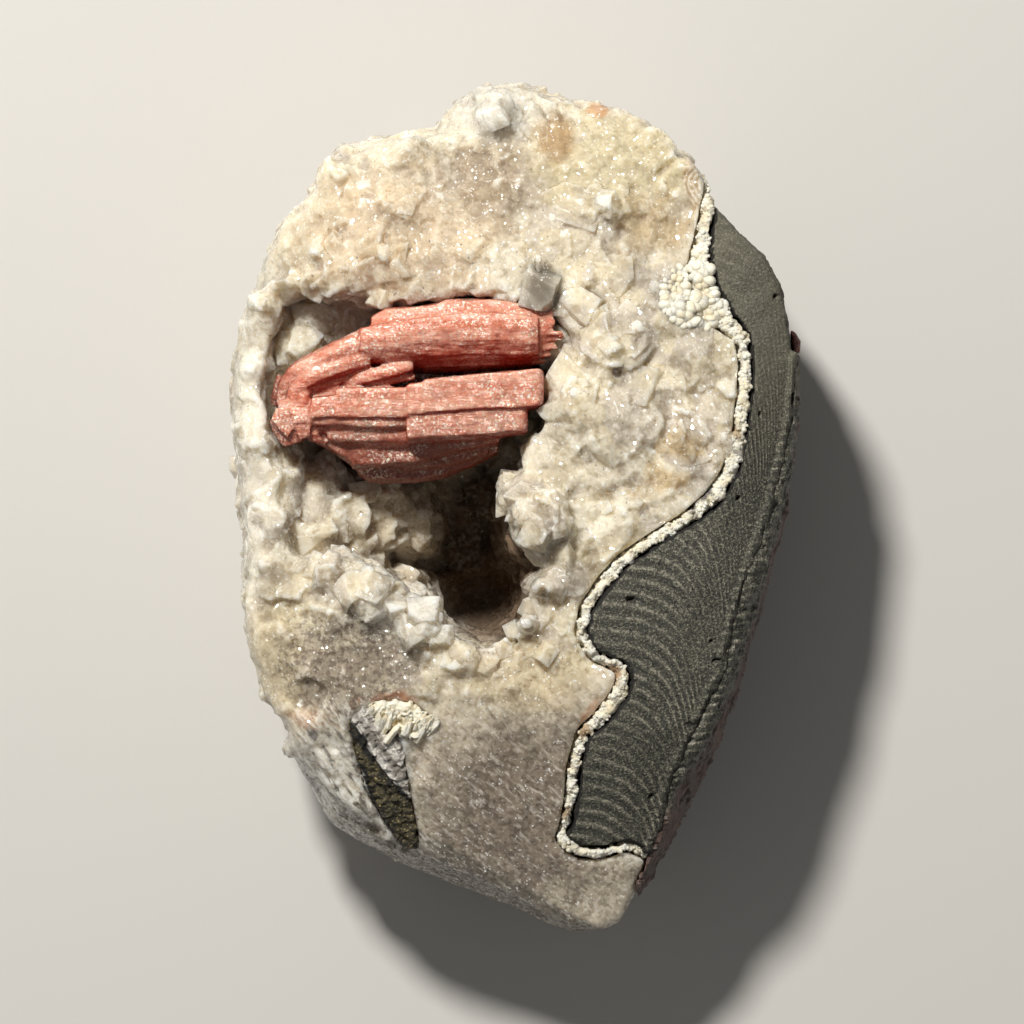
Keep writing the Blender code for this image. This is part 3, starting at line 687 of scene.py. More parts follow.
def basalt_material(groups):
    made, tree, shader = new_material("sawn_basalt")
    where = object_coordinates(tree)
    stone = sawn_stone(tree, groups)
    pit = stretch(tree, attribute(tree, "pit"), 0.1, 0.8, 0.0, 0.85)
    colour = mix_colour(tree, pit, stone["Color"], (0.012, 0.010, 0.008))
    rim = stretch(tree, attribute(tree, "rim"), 0.35, 0.75, 0.0, 0.95)
    colour = mix_colour(tree, rim, colour, (0.008, 0.007, 0.007))
    rough = stretch(tree, noise_node(tree, where, 3600.0, 3.0, 0.8), 0.3, 0.7, 0.62, 0.9)
    set_shader(tree, shader, Base_Color=colour, Roughness=rough, Normal=bump(tree, stone["Height"]))
    return made


def rind_material():
    made, tree, shader = new_material("white_rind")
    where = object_coordinates(tree)
    cloud = noise_node(tree, where, 480.0, 4.0, 0.6)
    colour = mix_colour(tree, stretch(tree, cloud, 0.34, 0.60), (0.82, 0.72, 0.52), (0.93, 0.885, 0.75))
    colour = speckled(tree, colour, (where, 300.0, 4.0, 0.7), (0.62, 0.76), 0.6, (0.50, 0.33, 0.17))
    flat = vector_node(tree, "MULTIPLY", where, (1.0, 1.0, 0.0))
    ragged = noise_node(tree, where, 620.0, 4.0, 0.7)
    for (x, y), across, tint in RIND_SPOTS:
        reach = vector_node(tree, "DISTANCE", flat, (x * MM, y * MM, 0.0), output="Value")
        reach = times_plus(tree, ragged, 0.004, reach)
        spot = stretch(tree, reach, (across + 2.2) * MM, (across + 1.2) * MM, 0.0, 0.85)
        colour = mix_colour(tree, spot, colour, tint)
    colour = speckled(tree, colour, (where, 1700.0, 3.0, 0.6), (0.69, 0.75), 0.85, (0.05, 0.04, 0.035))
    height = times(tree, noise_node(tree, where, 2600.0, 4.0, 0.7), 0.00018)
    set_shader(
        tree, shader, Base_Color=colour, Roughness=0.62, IOR=1.5, Subsurface_Weight=0.5,
        Subsurface_Radius=(1.0, 0.85, 0.65), Subsurface_Scale=0.0009, Normal=bump(tree, height),
    )
    return made


def crust_material(groups):
    """Pinkish crust darkened as painted shade of the unlit flank, with bare basalt where it reaches the sawn
    face.
    """
    made, tree, shader = new_material("pink_crust")
    where = object_coordinates(tree)
    facets = use(tree, groups["facets"], {"Scale": 1400.0, "Tilt": 0.5, "Glints": 0.1})
    cloud = noise_node(tree, where, 240.0, 5.0, 0.65)
    # painted shade: the crust's pink is darkened far below its own colour
    colour = mix_colour(tree, stretch(tree, cloud, 0.32, 0.68), (0.05, 0.032, 0.028), (0.15, 0.095, 0.08))
    colour = speckled(tree, colour, (where, 900.0, 4.0, 0.7), (0.54, 0.66), 0.8, (0.05, 0.042, 0.036))
    bare = stretch(tree, times_plus(tree, cloud, 0.006, apart(tree, where)[2]), 0.0335, 0.0355)
    colour = mix_colour(tree, bare, colour, sawn_stone(tree, groups)["Color"])
    set_shader(
        tree, shader, Base_Color=colour, Roughness=stretch(tree, cloud, 0.3, 0.7, 0.5, 0.7),
        Normal=bump(tree, facets["Height"]),
    )
    return made


def inclusion_material():
    """A grey white ridge with an olive streak along it, edged in black."""
    made, tree, shader = new_material("dark_inclusion")
    where = object_coordinates(tree)
    streak = noise_node(tree, along_way(tree, where, STREAK_TURN, (5.0, 0.5)), 420.0, 4.0, 0.6)
    split = apart(tree, where)
    (foot_x, foot_y), (way_x, way_y) = STREAK
    x = math_node(tree, "SUBTRACT", split[0], foot_x * MM)
    y = math_node(tree, "SUBTRACT", split[1], foot_y * MM)
    along = times_plus(tree, x, way_x, times(tree, y, way_y))
    across = times_plus(tree, x, -way_y, times(tree, y, way_x))
    past = times_plus(tree, along, -STREAK_SPREAD, math_node(tree, "ABSOLUTE", across))
    past = times_plus(tree, math_node(tree, "SUBTRACT", streak, 0.5), 0.003, past)
    green = stretch(tree, noise_node(tree, where, 1100.0, 4.0, 0.75), 0.4, 0.62)
    olive = mix_colour(tree, green, (0.022, 0.019, 0.013), (0.13, 0.11, 0.06))
    olive = speckled(tree, olive, (where, 2600.0, 2.0, 0.6), (0.62, 0.68), 0.8, (0.60, 0.47, 0.18))
    ridge = mix_colour(tree, stretch(tree, streak, 0.40, 0.58), (0.30, 0.27, 0.24), (0.78, 0.75, 0.70))
    ridge = speckled(tree, ridge, (where, 520.0, 3.0, 0.6), (0.60, 0.70), 0.8, (0.05, 0.055, 0.09))
    colour = mix_colour(tree, stretch(tree, past, 0.0004, 0.0009), olive, (0.010, 0.009, 0.009))
    colour = mix_colour(tree, stretch(tree, past, 0.0010, 0.0014), colour, ridge)
    height = times(tree, noise_node(tree, where, 1700.0, 4.0, 0.75), 0.0006)
    set_shader(tree, shader, Base_Color=colour, Roughness=0.6, Normal=bump(tree, height))
    return made


def floor_material():
    made, tree, shader = new_material("pale_floor")
    pale = bpy.context.scene.specimen.stage.floor
    cloud = noise_node(tree, object_coordinates(tree), 9.0, 4.0)
    colour = mix_colour(tree, cloud, [0.96 * part for part in pale], pale)
    set_shader(tree, shader, Base_Color=colour, Roughness=0.75)
    return made


# ---------------------------------------------------------------- settings

def length_setting(name, description, default, lowest=0.0):
    return FloatProperty(
        name=name, description=description, default=default, min=lowest, unit="LENGTH", precision=5,
    )


def colour_setting(name, description, default):
    return FloatVectorProperty(
        name=name, description=description, default=default, min=0.0, max=1.0, subtype="COLOR",
    )


class QuartzSettings(bpy.types.PropertyGroup):
    """Sizes and colours of the quartz."""
    mass_detail: length_setting("Mass Detail", "Size of the faces of the quartz mass", 0.00054, 0.0003)
    druse_detail: length_setting("Druse Detail", "Size of the smallest shape in the druse", 0.00034, 0.0002)
    relief: length_setting("Relief", "Depth of the broken surface of the mass", 0.0009)
    crystal_spacing: length_setting("Crystal Spacing", "Distance between the crystals", 0.0034, 0.0015)
    milk: colour_setting("Milk", "Colour of the cloudy quartz", (0.87, 0.77, 0.55))
    smoke: colour_setting("Smoke", "Colour of the greyer quartz", (0.70, 0.61, 0.44))
    seed: IntProperty(name="Seed", description="Changes how the crystals lie", default=7)


class SheafSettings(bpy.types.PropertyGroup):
    """Sizes and colours of the epistilbite."""
    detail: length_setting("Detail", "Size of the faces of the sheaf", 0.00021, 0.0001)
    striation: length_setting("Striation", "Depth of the lines along the blades", 0.00005)
    # painted shade: the deep red of faces turned down or away from the light
    painted_shade_red: colour_setting("Deep Red", "Colour of the faces that lean or look down", (0.36, 0.022, 0.008))
    red: colour_setting("Red", "Colour of the redder streaks in the upper faces", (0.62, 0.20, 0.12))
    salmon: colour_setting("Salmon", "Colour of the paler upper faces", (0.80, 0.43, 0.32))


class RockSettings(bpy.types.PropertyGroup):
    """Sizes and colours of the basalt and its rind."""
    saw_pitch: length_setting("Saw Pitch", "Distance between the saw's marks", 0.00165, 0.0005)
    saw_depth: length_setting("Saw Depth", "Depth of the saw's marks", 0.00005)
    bead: length_setting("Bead", "Width of the rind's largest beads", 0.0016, 0.0005)
    basalt: colour_setting("Basalt", "Colour of the sawn basalt", (0.068, 0.068, 0.054))


class StageSettings(bpy.types.PropertyGroup):
    """The floor, the lights and the camera."""
    floor: colour_setting("Floor", "Colour of the floor", (0.60, 0.59, 0.575))
    key_power: FloatProperty(
        name="Key Power", description="Power of the main light", default=7.0, unit="POWER",
    )
    key_size: length_setting("Key Size", "Width of the main light", 0.09, 0.01)
    key_height: FloatProperty(
        name="Key Height", description="Angle of the main light above the floor", default=math.radians(54.0),
        unit="ROTATION",
    )
    key_turn: FloatProperty(
        name="Key Turn", description="Direction of the main light, from the specimen's length",
        default=math.radians(26.0), unit="ROTATION",
    )
    fill: FloatProperty(
        name="Fill", description="Brightness of the light from all round", default=0.16, min=0.0,
    )


class SpecimenSettings(bpy.types.PropertyGroup):
    """All the settings of the specimen."""
    quartz: PointerProperty(type=QuartzSettings)
    sheaf: PointerProperty(type=SheafSettings)
    rock: PointerProperty(type=RockSettings)
    stage: PointerProperty(type=StageSettings)


# ---------------------------------------------------------------- joined copies

def mesh_arrays(obj):
    """A mesh as points, in millimetres, and the corners of its faces."""
    corners = np.empty(len(obj.data.loops), np.int32)
    obj.data.loops.foreach_get("vertex_index", corners)
    counts = np.empty(len(obj.data.polygons), np.int32)
    obj.data.polygons.foreach_get("loop_total", counts)
    return points_of(obj), corners, counts


def take_form(obj):
    """Reads a modelled form that is one metre wide and removes its object."""
    points, corners, counts = mesh_arrays(obj)
    mesh = obj.data
    bpy.data.objects.remove(obj)
    bpy.data.meshes.remove(mesh)
    return points * MM, corners, counts


def turned(form_points, turn, scale, place):
    """Copies of a form: one row of turn (3 x 3), scale (3) and place (3) for each copy."""
    sized = form_points[None, :, :] * scale[:, None, :]
    return np.einsum("nij,nkj->nki", turn, sized) + place[:, None, :]


def joined(name, forms, which, turn, scale, place, tone):
    """One mesh object made of many copies of a few forms."""
    all_points, all_corners, all_counts, all_tones = [], [], [], []
    start = 0
    for index, (points, corners, counts) in enumerate(forms):
        chosen = np.flatnonzero(which == index)
        if not len(chosen):
            continue
        copies = turned(points, turn[chosen], scale[chosen], place[chosen])
        shift = start + np.arange(len(chosen))[:, None] * len(points)
        all_points.append(copies.reshape(-1, 3))
        all_corners.append((corners[None, :] + shift).ravel())
        all_counts.append(np.tile(counts, len(chosen)))
        all_tones.append(np.repeat(tone[chosen], len(points)))
        start += len(chosen) * len(points)
    points = np.concatenate(all_points)
    corners = np.concatenate(all_corners)
    counts = np.concatenate(all_counts)
    mesh = bpy.data.meshes.new(name)
    mesh.vertices.add(len(points))
    mesh.vertices.foreach_set("co", (points * MM).ravel())
    mesh.loops.add(len(corners))
    mesh.loops.foreach_set("vertex_index", corners.astype(np.int32))
    mesh.polygons.add(len(counts))
    mesh.polygons.foreach_set("loop_start", (np.cumsum(counts) - counts).astype(np.int32))
    mesh.update(calc_edges=True)
    mesh.validate()
    obj = bpy.data.objects.new(name, mesh)
    bpy.context.scene.collection.objects.link(obj)
    store_values(obj, "tone", np.concatenate(all_tones))
    return obj


def frames_from(axes, turns):
    """Rotation matrices whose third column is the axis, turned about it."""
    axes = axes / np.linalg.norm(axes, axis=1)[:, None]
    helper = np.where(np.abs(axes[:, :1]) > 0.8, np.array([[0.0, 1.0, 0.0]]), np.array([[1.0, 0.0, 0.0]]))
    first = np.cross(helper, axes)
    first /= np.linalg.norm(first, axis=1)[:, None]
    second = np.cross(axes, first)
    c, s = np.cos(turns)[:, None], np.sin(turns)[:, None]
    return np.stack((first * c + second * s, second * c - first * s, axes), axis=2)


def triangles_of(obj):
    """The triangles' corner points in millimetres, normals, areas and polygon numbers."""
    obj.data.calc_loop_triangles()
    count = len(obj.data.loop_triangles)
    corners = np.empty(count * 3, np.int32)
    obj.data.loop_triangles.foreach_get("vertices", corners)
    polygons = np.empty(count, np.int32)
    obj.data.loop_triangles.foreach_get("polygon_index", polygons)
    corner_points = points_of(obj)[corners.reshape(-1, 3)]
    cross = np.cross(corner_points[:, 1] - corner_points[:, 0], corner_points[:, 2] - corner_points[:, 0])
    double = np.linalg.norm(cross, axis=1)
    normals = cross / np.maximum(double, 1e-12)[:, None]
    return corner_points, normals, double / 2.0, polygons


TRIES = 5.0  # how many random points scatter tries for each square of its spacing


def scatter(obj, spacing, keep, seed):
    """Evenly spread random points on a mesh, and the normals there.

    keep takes the triangles' middles and normals and tells which of them may carry points.
    """
    rng = np.random.default_rng(seed)
    corners, normals, areas, _polygons = triangles_of(obj)
    middles = corners.mean(axis=1)
    wanted = np.flatnonzero(keep(middles, normals))
    shares = areas[wanted] / areas[wanted].sum()
    count = int(TRIES * areas[wanted].sum() / spacing ** 2)
    chosen = wanted[rng.choice(len(wanted), count, p=shares)]
    a, b = rng.random(count), rng.random(count)
    over = a + b > 1.0
    a[over], b[over] = 1.0 - a[over], 1.0 - b[over]
    base = corners[chosen]
    points = base[:, 0] + (base[:, 1] - base[:, 0]) * a[:, None] + (base[:, 2] - base[:, 0]) * b[:, None]
    taken = {}
    kept = []
    cells = np.floor(points / spacing).astype(int)
    for index, (cell, (x, y, z)) in enumerate(zip(cells.tolist(), points.tolist())):
        near = (
            other for step in np.ndindex(3, 3, 3)
            for other in taken.get(tuple(part + move - 1 for part, move in zip(cell, step)), ())
        )
        if any((u - x) ** 2 + (v - y) ** 2 + (w - z) ** 2 < spacing ** 2 for u, v, w in near):
            continue
        taken.setdefault(tuple(cell), []).append((x, y, z))
        kept.append(index)
    return points[kept], normals[chosen][kept]


def tree_of(obj):
    """A search tree of the mesh, in millimetres."""
    obj.data.calc_loop_triangles()
    triangles = [tuple(face.vertices) for face in obj.data.loop_triangles]
    return BVHTree.FromPolygons([Vector(point) for point in points_of(obj)], triangles)


def far_from(points, tree, distance):
    """Which points are further than the distance from a tree's surface."""
    return np.array([tree.find_nearest(Vector(point), distance)[0] is None for point in points], bool)


def height_at(tree, x, y, reach):
    """The height of the surface round a place seen from above, nearer its higher parts than its lower."""
    heights = []
    for turn in np.linspace(0.0, 2.0 * math.pi, 9)[:-1]:
        start = Vector((x + reach * math.cos(turn), y + reach * math.sin(turn), 60.0))
        place = tree.ray_cast(start, -UP)[0]
        if place is not None:
            heights.append(place.z)
    return float(np.percentile(heights, 65))


# ---------------------------------------------------------------- quartz

END_FACE_TILT = math.radians(51.8)  # of a quartz crystal's end faces, from its axis
MERGE = 1e-5  # corners of a form that lie closer than this are one


def cut_and_bevel(planes, bevel):
    """Cuts the active crystal along planes, each a place and the way it faces, and bevels its edges.

    It stays in edit mode.
    """
    bpy.ops.object.transform_apply(location=True, rotation=False, scale=True)
    bpy.ops.object.mode_set(mode="EDIT")
    for place, way in planes:
        bpy.ops.mesh.select_all(action="SELECT")
        bpy.ops.mesh.bisect(plane_co=place, plane_no=way, use_fill=True, clear_outer=True)
    bpy.ops.mesh.select_all(action="SELECT")
    if bevel:
        bpy.ops.mesh.bevel(offset=bevel, segments=1, affect="EDGES")
        bpy.ops.mesh.select_all(action="SELECT")


def quartz_form(offsets, bevel, cuts, depth=1.5):
    """A six-sided crystal one unit wide with its tip at the origin, pointing up.

    offsets move the six end faces outwards, so that some are large and some small.
    """
    bpy.ops.object.select_all(action="DESELECT")
    bpy.ops.mesh.primitive_cylinder_add(
        vertices=6, radius=0.5, depth=depth, location=(0.0, 0.0, -depth / 2.0),
    )
    obj = bpy.context.active_object
    planes = []
    for side, offset in enumerate(offsets):
        turn = math.radians(60.0 * side)
        way = Vector((
            math.sin(END_FACE_TILT) * math.cos(turn), math.sin(END_FACE_TILT) * math.sin(turn),
            math.cos(END_FACE_TILT),
        ))
        planes.append((way * offset, way))
    cut_and_bevel(planes, bevel)
    if cuts:
        bpy.ops.mesh.quads_convert_to_tris()
        bpy.ops.mesh.subdivide(number_cuts=cuts)
        bpy.ops.mesh.select_all(action="SELECT")
    bpy.ops.mesh.remove_doubles(threshold=MERGE)
    bpy.ops.mesh.normals_make_consistent(inside=False)
    bpy.ops.object.mode_set(mode="OBJECT")
    return take_form(obj)


def block_form(corners_cut, bevel, cuts):
    """A blocky crystal about one unit wide with the middle of its top face at the origin.

    corners_cut lists the planes that cut it: the way each faces, and how far it lies from the block's middle.
    """
    middle = Vector((0.0, 0.0, -0.45))
    bpy.ops.object.select_all(action="DESELECT")
    bpy.ops.mesh.primitive_cube_add(size=1.0, location=middle, scale=(1.0, 0.88, 0.9))
    obj = bpy.context.active_object
    ways = [Vector(way).normalized() for way, _away in corners_cut]
    planes = [(middle + way * away, way) for way, (_way, away) in zip(ways, corners_cut)]
    cut_and_bevel(planes, bevel)
    bpy.ops.mesh.remove_doubles(threshold=MERGE)
    bpy.ops.mesh.quads_convert_to_tris()
    bpy.ops.mesh.subdivide(number_cuts=cuts)
    bpy.ops.mesh.normals_make_consistent(inside=False)
    bpy.ops.object.mode_set(mode="OBJECT")
    return take_form(obj)


# The planes that cut each blocky form
BLOCK_CUTS = [
    [((1.0, 0.7, 0.5), 0.52), ((-0.8, 0.5, 0.9), 0.56)],
    [((0.9, -0.4, 0.8), 0.46), ((-0.9, 0.3, 0.5), 0.50), ((0.1, 1.0, 0.6), 0.50)],
    [((0.3, 0.9, 0.35), 0.46), ((-0.7, -0.6, 0.8), 0.54)],
    [((1.0, 0.1, 0.9), 0.44), ((-0.6, 0.9, 0.3), 0.52), ((-0.5, -0.9, 0.6), 0.50)],
    [((-1.0, 0.2, 0.6), 0.44), ((0.7, 0.8, 0.5), 0.58)],
    [((0.5, -1.0, 0.7), 0.44), ((0.6, 0.7, 0.2), 0.50), ((-1.0, 0.1, 0.3), 0.46)],
    [((0.9, 0.9, 0.9), 0.56), ((-0.9, 0.9, 0.4), 0.54), ((0.0, -1.0, 0.4), 0.42)],
]
# How far out the six end faces of each form lie
END_FACES = [
    (0.00, 0.10, 0.01, 0.12, 0.00, 0.09), (0.00, 0.04, 0.07, 0.03, 0.10, 0.06),
    (0.00, 0.16, 0.05, 0.17, 0.09, 0.15), (0.06, 0.05, 0.00, 0.13, 0.03, 0.00),
    (0.00, 0.12, 0.12, 0.04, 0.14, 0.10), (0.02, 0.02, 0.02, 0.05, 0.01, 0.04),
]


# Outlines seen from above: where crystals stand, and where the stone is sawn
DRUSE = [
    (-36.5, 16.0), (-35.8, 24.0), (-32.5, 31.0), (-30.5, 38.0), (-25.5, 44.5), (-22.0, 47.0), (-12.0, 49.0),
    (-8.5, 54.0), (-2.0, 54.5), (4.8, 53.4), (6.6, 44.0), (11.0, 40.0), (13.0, 36.0), (16.6, 31.0),
    (20.0, 26.4), (24.6, 22.6), (28.6, 16.0), (28.6, 8.0), (26.0, 3.0), (20.0, -3.6), (12.0, -8.6),
    (8.0, -12.0), (5.0, -16.0), (-2.0, -20.0), (-8.0, -20.6), (-14.0, -19.4), (-20.0, -15.6),
    (-27.0, -12.0), (-31.5, -11.0), (-35.4, -8.0), (-36.4, 4.0),
]
DRUSE_FOOT = 12.0  # no crystal stands lower than this
SAWN = [
    (-9.5, -22.4), (-3.0, -23.6), (3.0, -21.6), (6.5, -19.0), (9.5, -21.0), (9.0, -28.0), (7.6, -38.0),
    (9.0, -42.4), (20.6, -43.4), (16.6, -52.0), (11.0, -55.5), (5.0, -55.5), (-12.0, -48.5), (-26.0, -40.5),
    (-31.0, -31.0), (-27.0, -30.6), (-21.0, -40.0), (-13.0, -43.6),
]


def roughness_of_mass(points):
    """How strongly the mass is broken up at its points: 1 on broken stone, little on sawn stone."""
    x, y, z = points.T
    weight = np.ones(len(points))
    weight[inside(SAWN, x, y) & (z > 20.0)] = 0.16
    weight[z < 12.0] = 0.7
    weight *= ramp(z, 0.2, 2.5)
    return weight


def random_at(cells, salt):
    """A random number from 0 to 1 for each whole-numbered cell."""
    mixed = cells @ np.array([374761393, 668265263, 1103515245]) + salt * 1274126177
    mixed = (mixed ^ (mixed >> 13)) * 1274126177
    mixed = mixed ^ (mixed >> 16)
    return (mixed & 0xFFFFFF) / 0xFFFFFF


def facet_height(places, salt=0, slope=1.5, step=1.0):
    """Heights of small tilted planes, one round each scattered centre, as on a mosaic of tiny crystals.

    slope is how much they tilt, and step how far they lie above and below one another. It also returns a
    random number for each plane.
    """
    cells = np.floor(places).astype(np.int64)
    nearest = np.full(len(places), np.inf)
    height = np.zeros(len(places))
    shade = np.zeros(len(places))
    for near in np.ndindex(3, 3, 3):
        cell = cells + np.array(near) - 1
        centre = cell + np.stack([random_at(cell, salt + axis) for axis in range(3)], axis=1)
        away = places - centre
        distance = (away ** 2).sum(axis=1)
        closer = distance < nearest
        tilt = np.stack([random_at(cell, salt + 3 + axis) for axis in range(3)], axis=1) - 0.5
        level = random_at(cell, salt + 6) - 0.5
        height[closer] = ((away * tilt).sum(axis=1) * slope + level * step)[closer]
        shade[closer] = random_at(cell, salt + 7)[closer]
        nearest[closer] = distance[closer]
    return height, shade


def noise_relief(obj, layers, weight=None, along=(1.0, 1.0, 1.0)):
    """Moves the points along their normals. A layer is (kind, wavelength, depth), in millimetres."""
    points = points_of(obj)
    total = np.zeros(len(points))
    for number, (kind, wavelength, depth) in enumerate(layers):
        places = points * np.array(along) / wavelength + 17.3 * number
        if kind == "facets":
            total += depth * facet_height(places, 11 * number)[0]
        else:
            total += depth * np.array([noise.noise(Vector(place)) for place in places])
    if weight is not None:
        total *= weight
    move_points(obj, points + normals_of(obj) * total[:, None])


def store_values(obj, name, values):
    """Keeps one value for each point, or one for all, for the materials to read."""
    store = obj.data.attributes.get(name) or obj.data.attributes.new(name, "FLOAT", "POINT")
    store.data.foreach_set("value", np.broadcast_to(values, len(obj.data.vertices)).astype(np.float32))


def join(name, parts):
    for other in bpy.context.view_layer.objects:
        other.select_set(False)
    for part in parts:
        part.select_set(True)
    bpy.context.view_layer.objects.active = parts[0]
    bpy.ops.object.join()
    parts[0].name = name
    parts[0].data.name = name
    return parts[0]


def thin_out(obj, faces):
    """Collapses edges, the flattest first, until about this many triangles are left."""
    triangles = sum(len(face.vertices) - 2 for face in obj.data.polygons)
    if triangles > faces:
        apply_modifier(obj, "DECIMATE", ratio=faces / triangles)


def calm(x, y):
    """The share of the druse's relief that is left at places seen from above."""
    share = np.ones(np.shape(x))
    for (centre_x, centre_y), across, along, left in CALM_PLACES:
        away = np.hypot((x - centre_x) / across, (y - centre_y) / along)
        share = np.minimum(share, left + (1.0 - left) * ramp(away, 0.75, 1.1))
    return share


def finer_druse(obj):
    """Subdivides the faces that the druse grows on."""
    corners, normals, _areas, polygons = triangles_of(obj)
    middles = corners.mean(axis=1)
    x, y, z = middles.T
    wanted = inside(DRUSE, x, y) & (z > DRUSE_FOOT) & ((normals[:, 2] > 0.0) | (z < 36.0))
    wanted &= inside(DRUSE, 0.9 * x, 0.9 * y)
    pick(obj)
    bpy.ops.object.mode_set(mode="EDIT")
    bpy.ops.mesh.select_mode(type="FACE")
    bpy.ops.mesh.select_all(action="DESELECT")
    bpy.ops.object.mode_set(mode="OBJECT")
    chosen = np.zeros(len(obj.data.polygons), bool)
    chosen[polygons[wanted]] = True
    obj.data.polygons.foreach_set("select", chosen)
    bpy.ops.object.mode_set(mode="EDIT")
    bpy.ops.mesh.subdivide(number_cuts=1)
    bpy.ops.object.mode_set(mode="OBJECT")


def smooth_normals(obj, rounds):
    """The points' normals, each averaged with its neighbours' again and again."""
    ways = normals_of(obj)
    ends = np.empty(len(obj.data.edges) * 2, np.int64)
    obj.data.edges.foreach_get("vertices", ends)
    first, second = ends.reshape(-1, 2).T
    for _round in range(rounds):
        total = ways.copy()
        for axis in range(3):
            total[:, axis] += np.bincount(first, ways[second, axis], len(ways))
            total[:, axis] += np.bincount(second, ways[first, axis], len(ways))
        ways = total / np.linalg.norm(total, axis=1)[:, None]
    return ways


def lump(x, y, z, across, along, high):
    """A rounded body, to fill a part of the vug with or to cut out of the mass."""
    bpy.ops.mesh.primitive_ico_sphere_add(subdivisions=4, radius=1.0, location=(0.0, 0.0, 0.0))
    obj = bpy.context.active_object
    points = points_of(obj) * MM * np.array((across, along, high)) + np.array((x, y, z))
    move_points(obj, points)
    return obj


def druse_weights(points):
    """The shares of relief at points: of the broken stone's, and of the druse's."""
    x, y, z = points.T
    edge = np.ones(len(points))
    for node in ("white_rind", "basalt_block", "pink_crust", "inclusion_rim", "dark_inclusion"):
        low, high = (np.array(corner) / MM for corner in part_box(node))
        close = np.flatnonzero(((points > low - 0.9) & (points < high + 0.9)).all(axis=1) & (edge > 0.5))
        edge[close[~far_from(points[close], tree_of(frame["nodes"][node]), 0.9)]] = 0.1
    in_place = inside(DRUSE, x, y) & (z > DRUSE_FOOT)
    stone = roughness_of_mass(points) * edge
    return np.where(in_place, 0.0, stone), np.where(in_place, edge, 0.0)


def level_druse(mass):
    """Smooths the tops of the druse, so that no crystal stands out of it before its faces are cut."""
    points = points_of(mass)
    weight = druse_weights(points)[1] * ramp(points[:, 2], 31.0, 35.0)
    group = mass.vertex_groups.new(name="tops")
    for index in np.flatnonzero(weight > 0.5):
        group.add([int(index)], float(weight[index]), "REPLACE")
    apply_modifier(mass, "SMOOTH", factor=0.7, iterations=26, vertex_group="tops")


def broken_mass(sizes):
    """The quartz mass with its broken surface and the facets of its druse, and the facets' tones."""
    body = copy_of_node("quartz_body", "quartz_druse")
    carve = lump(*HOLE_BELOW_THE_RIM)
    apply_modifier(body, "BOOLEAN", operation="DIFFERENCE", object=carve, solver="EXACT")
    bpy.data.objects.remove(carve)
    bpy.context.view_layer.update()
    mass = join("quartz_druse", [body, *[lump(*row) for row in VUG_FILLS]])
    remesh(mass, sizes.mass_detail / MM, rounds=3)
    level_druse(mass)
    finer_druse(mass)
    ways = smooth_normals(mass, 24)
    stone, druse = druse_weights(points_of(mass))
    x, y, _z = points_of(mass).T
    noise_relief(mass, (("soft", 9.0, 0.6),), (stone + druse) * calm(x, y))
    noise_relief(mass, (("facets", 4.6, 0.9), ("facets", 1.9, 0.55)), stone * sizes.relief / MM)
    tones = cut_facets(mass, ways, druse)
    remesh(mass, sizes.druse_detail / MM, rounds=0)
    stone, druse = druse_weights(points_of(mass))
    noise_relief(mass, (("facets", 0.9, 0.10),), druse)
    return mass, tones


def cut_facets(mass, ways, weight):
    """Cuts the druse's surface into the broad flat faces of crystals, and returns where each tone lies."""
    points = points_of(mass)
    x, y, _z = points.T
    moved = np.flatnonzero(weight > 0.02)
    share = calm(x[moved], y[moved])
    height, tone = np.zeros(len(moved)), np.zeros(len(moved))
    for number, (width, depth, part) in enumerate(FACET_LAYERS):
        wander = 0.10 * np.stack(
            [np.sin(points[moved, (axis + 1) % 3] * 6.0 / width) for axis in range(3)], axis=1,
        )
        level, shade = facet_height(points[moved] / width + wander + 3.7 * number, 40 * number, 3.2, 0.35)
        calmed = share if width > 3.0 else 0.5 + 0.5 * share
        height += level * depth * calmed
        tone += shade * part
    points[moved] += ways[moved] * (height * weight[moved])[:, None]
    move_points(mass, points)
    return points[moved], tone


# The faces of the druse's crystals: how wide they are, how far they lie off the surface, share of the tone
FACET_LAYERS = ((6.0, 0.85, 0.6), (2.7, 0.5, 0.4))


def placed_between(mass, neighbours, sizes):
    """Where crystals stand all over the druse, grown into one another and each a little sunk."""
    def may_stand(middles, ways):
        fits = inside(DRUSE, middles[:, 0], middles[:, 1]) & (middles[:, 2] > DRUSE_FOOT)
        return fits & ((ways[:, 2] > 0.05) | (middles[:, 2] < 39.0) & (ways[:, 2] > -0.4))

    rng = np.random.default_rng(sizes.seed + 3)
    points, normals = scatter(mass, sizes.crystal_spacing / MM, may_stand, sizes.seed + 3)
    clear = np.ones(len(points), bool)
    for tree in neighbours:
        clear &= far_from(points, tree, 0.8)
    points, normals = points[clear], normals[clear]
    count = len(points)
    small, large = FILLING_WIDTHS
    widths = small + (large - small) * rng.random(count) ** 1.5
    share = calm(points[:, 0], points[:, 1])
    widths *= 0.4 + 0.6 * share
    steep = ramp(normals[:, 2], 0.75, 0.45)
    widths = np.where(steep > 0.5, np.minimum(widths, 2.8), widths)
    axes = normals + UP_SHARE * np.array(UP) + rng.normal(0.0, 0.2, (count, 3))
    turn = frames_from(axes, rng.uniform(0.0, 2.0 * math.pi, count))
    rise = rng.uniform(-0.08, 0.06, count) - 0.06 * (1.0 - share) - 0.06 * steep
    places = points + turn[:, :, 2] * (widths * rise)[:, None]
    scale = widths[:, None] * rng.uniform(0.8, 1.2, (count, 3))
    forms = [block_form(planes, 0.02, 1) for planes in BLOCK_CUTS]
    forms += [quartz_form(offsets, 0.02, 1, 1.0) for offsets in END_FACES[:4]]
    return forms, rng.integers(0, len(forms), count), turn, scale, places, rng.random(count)


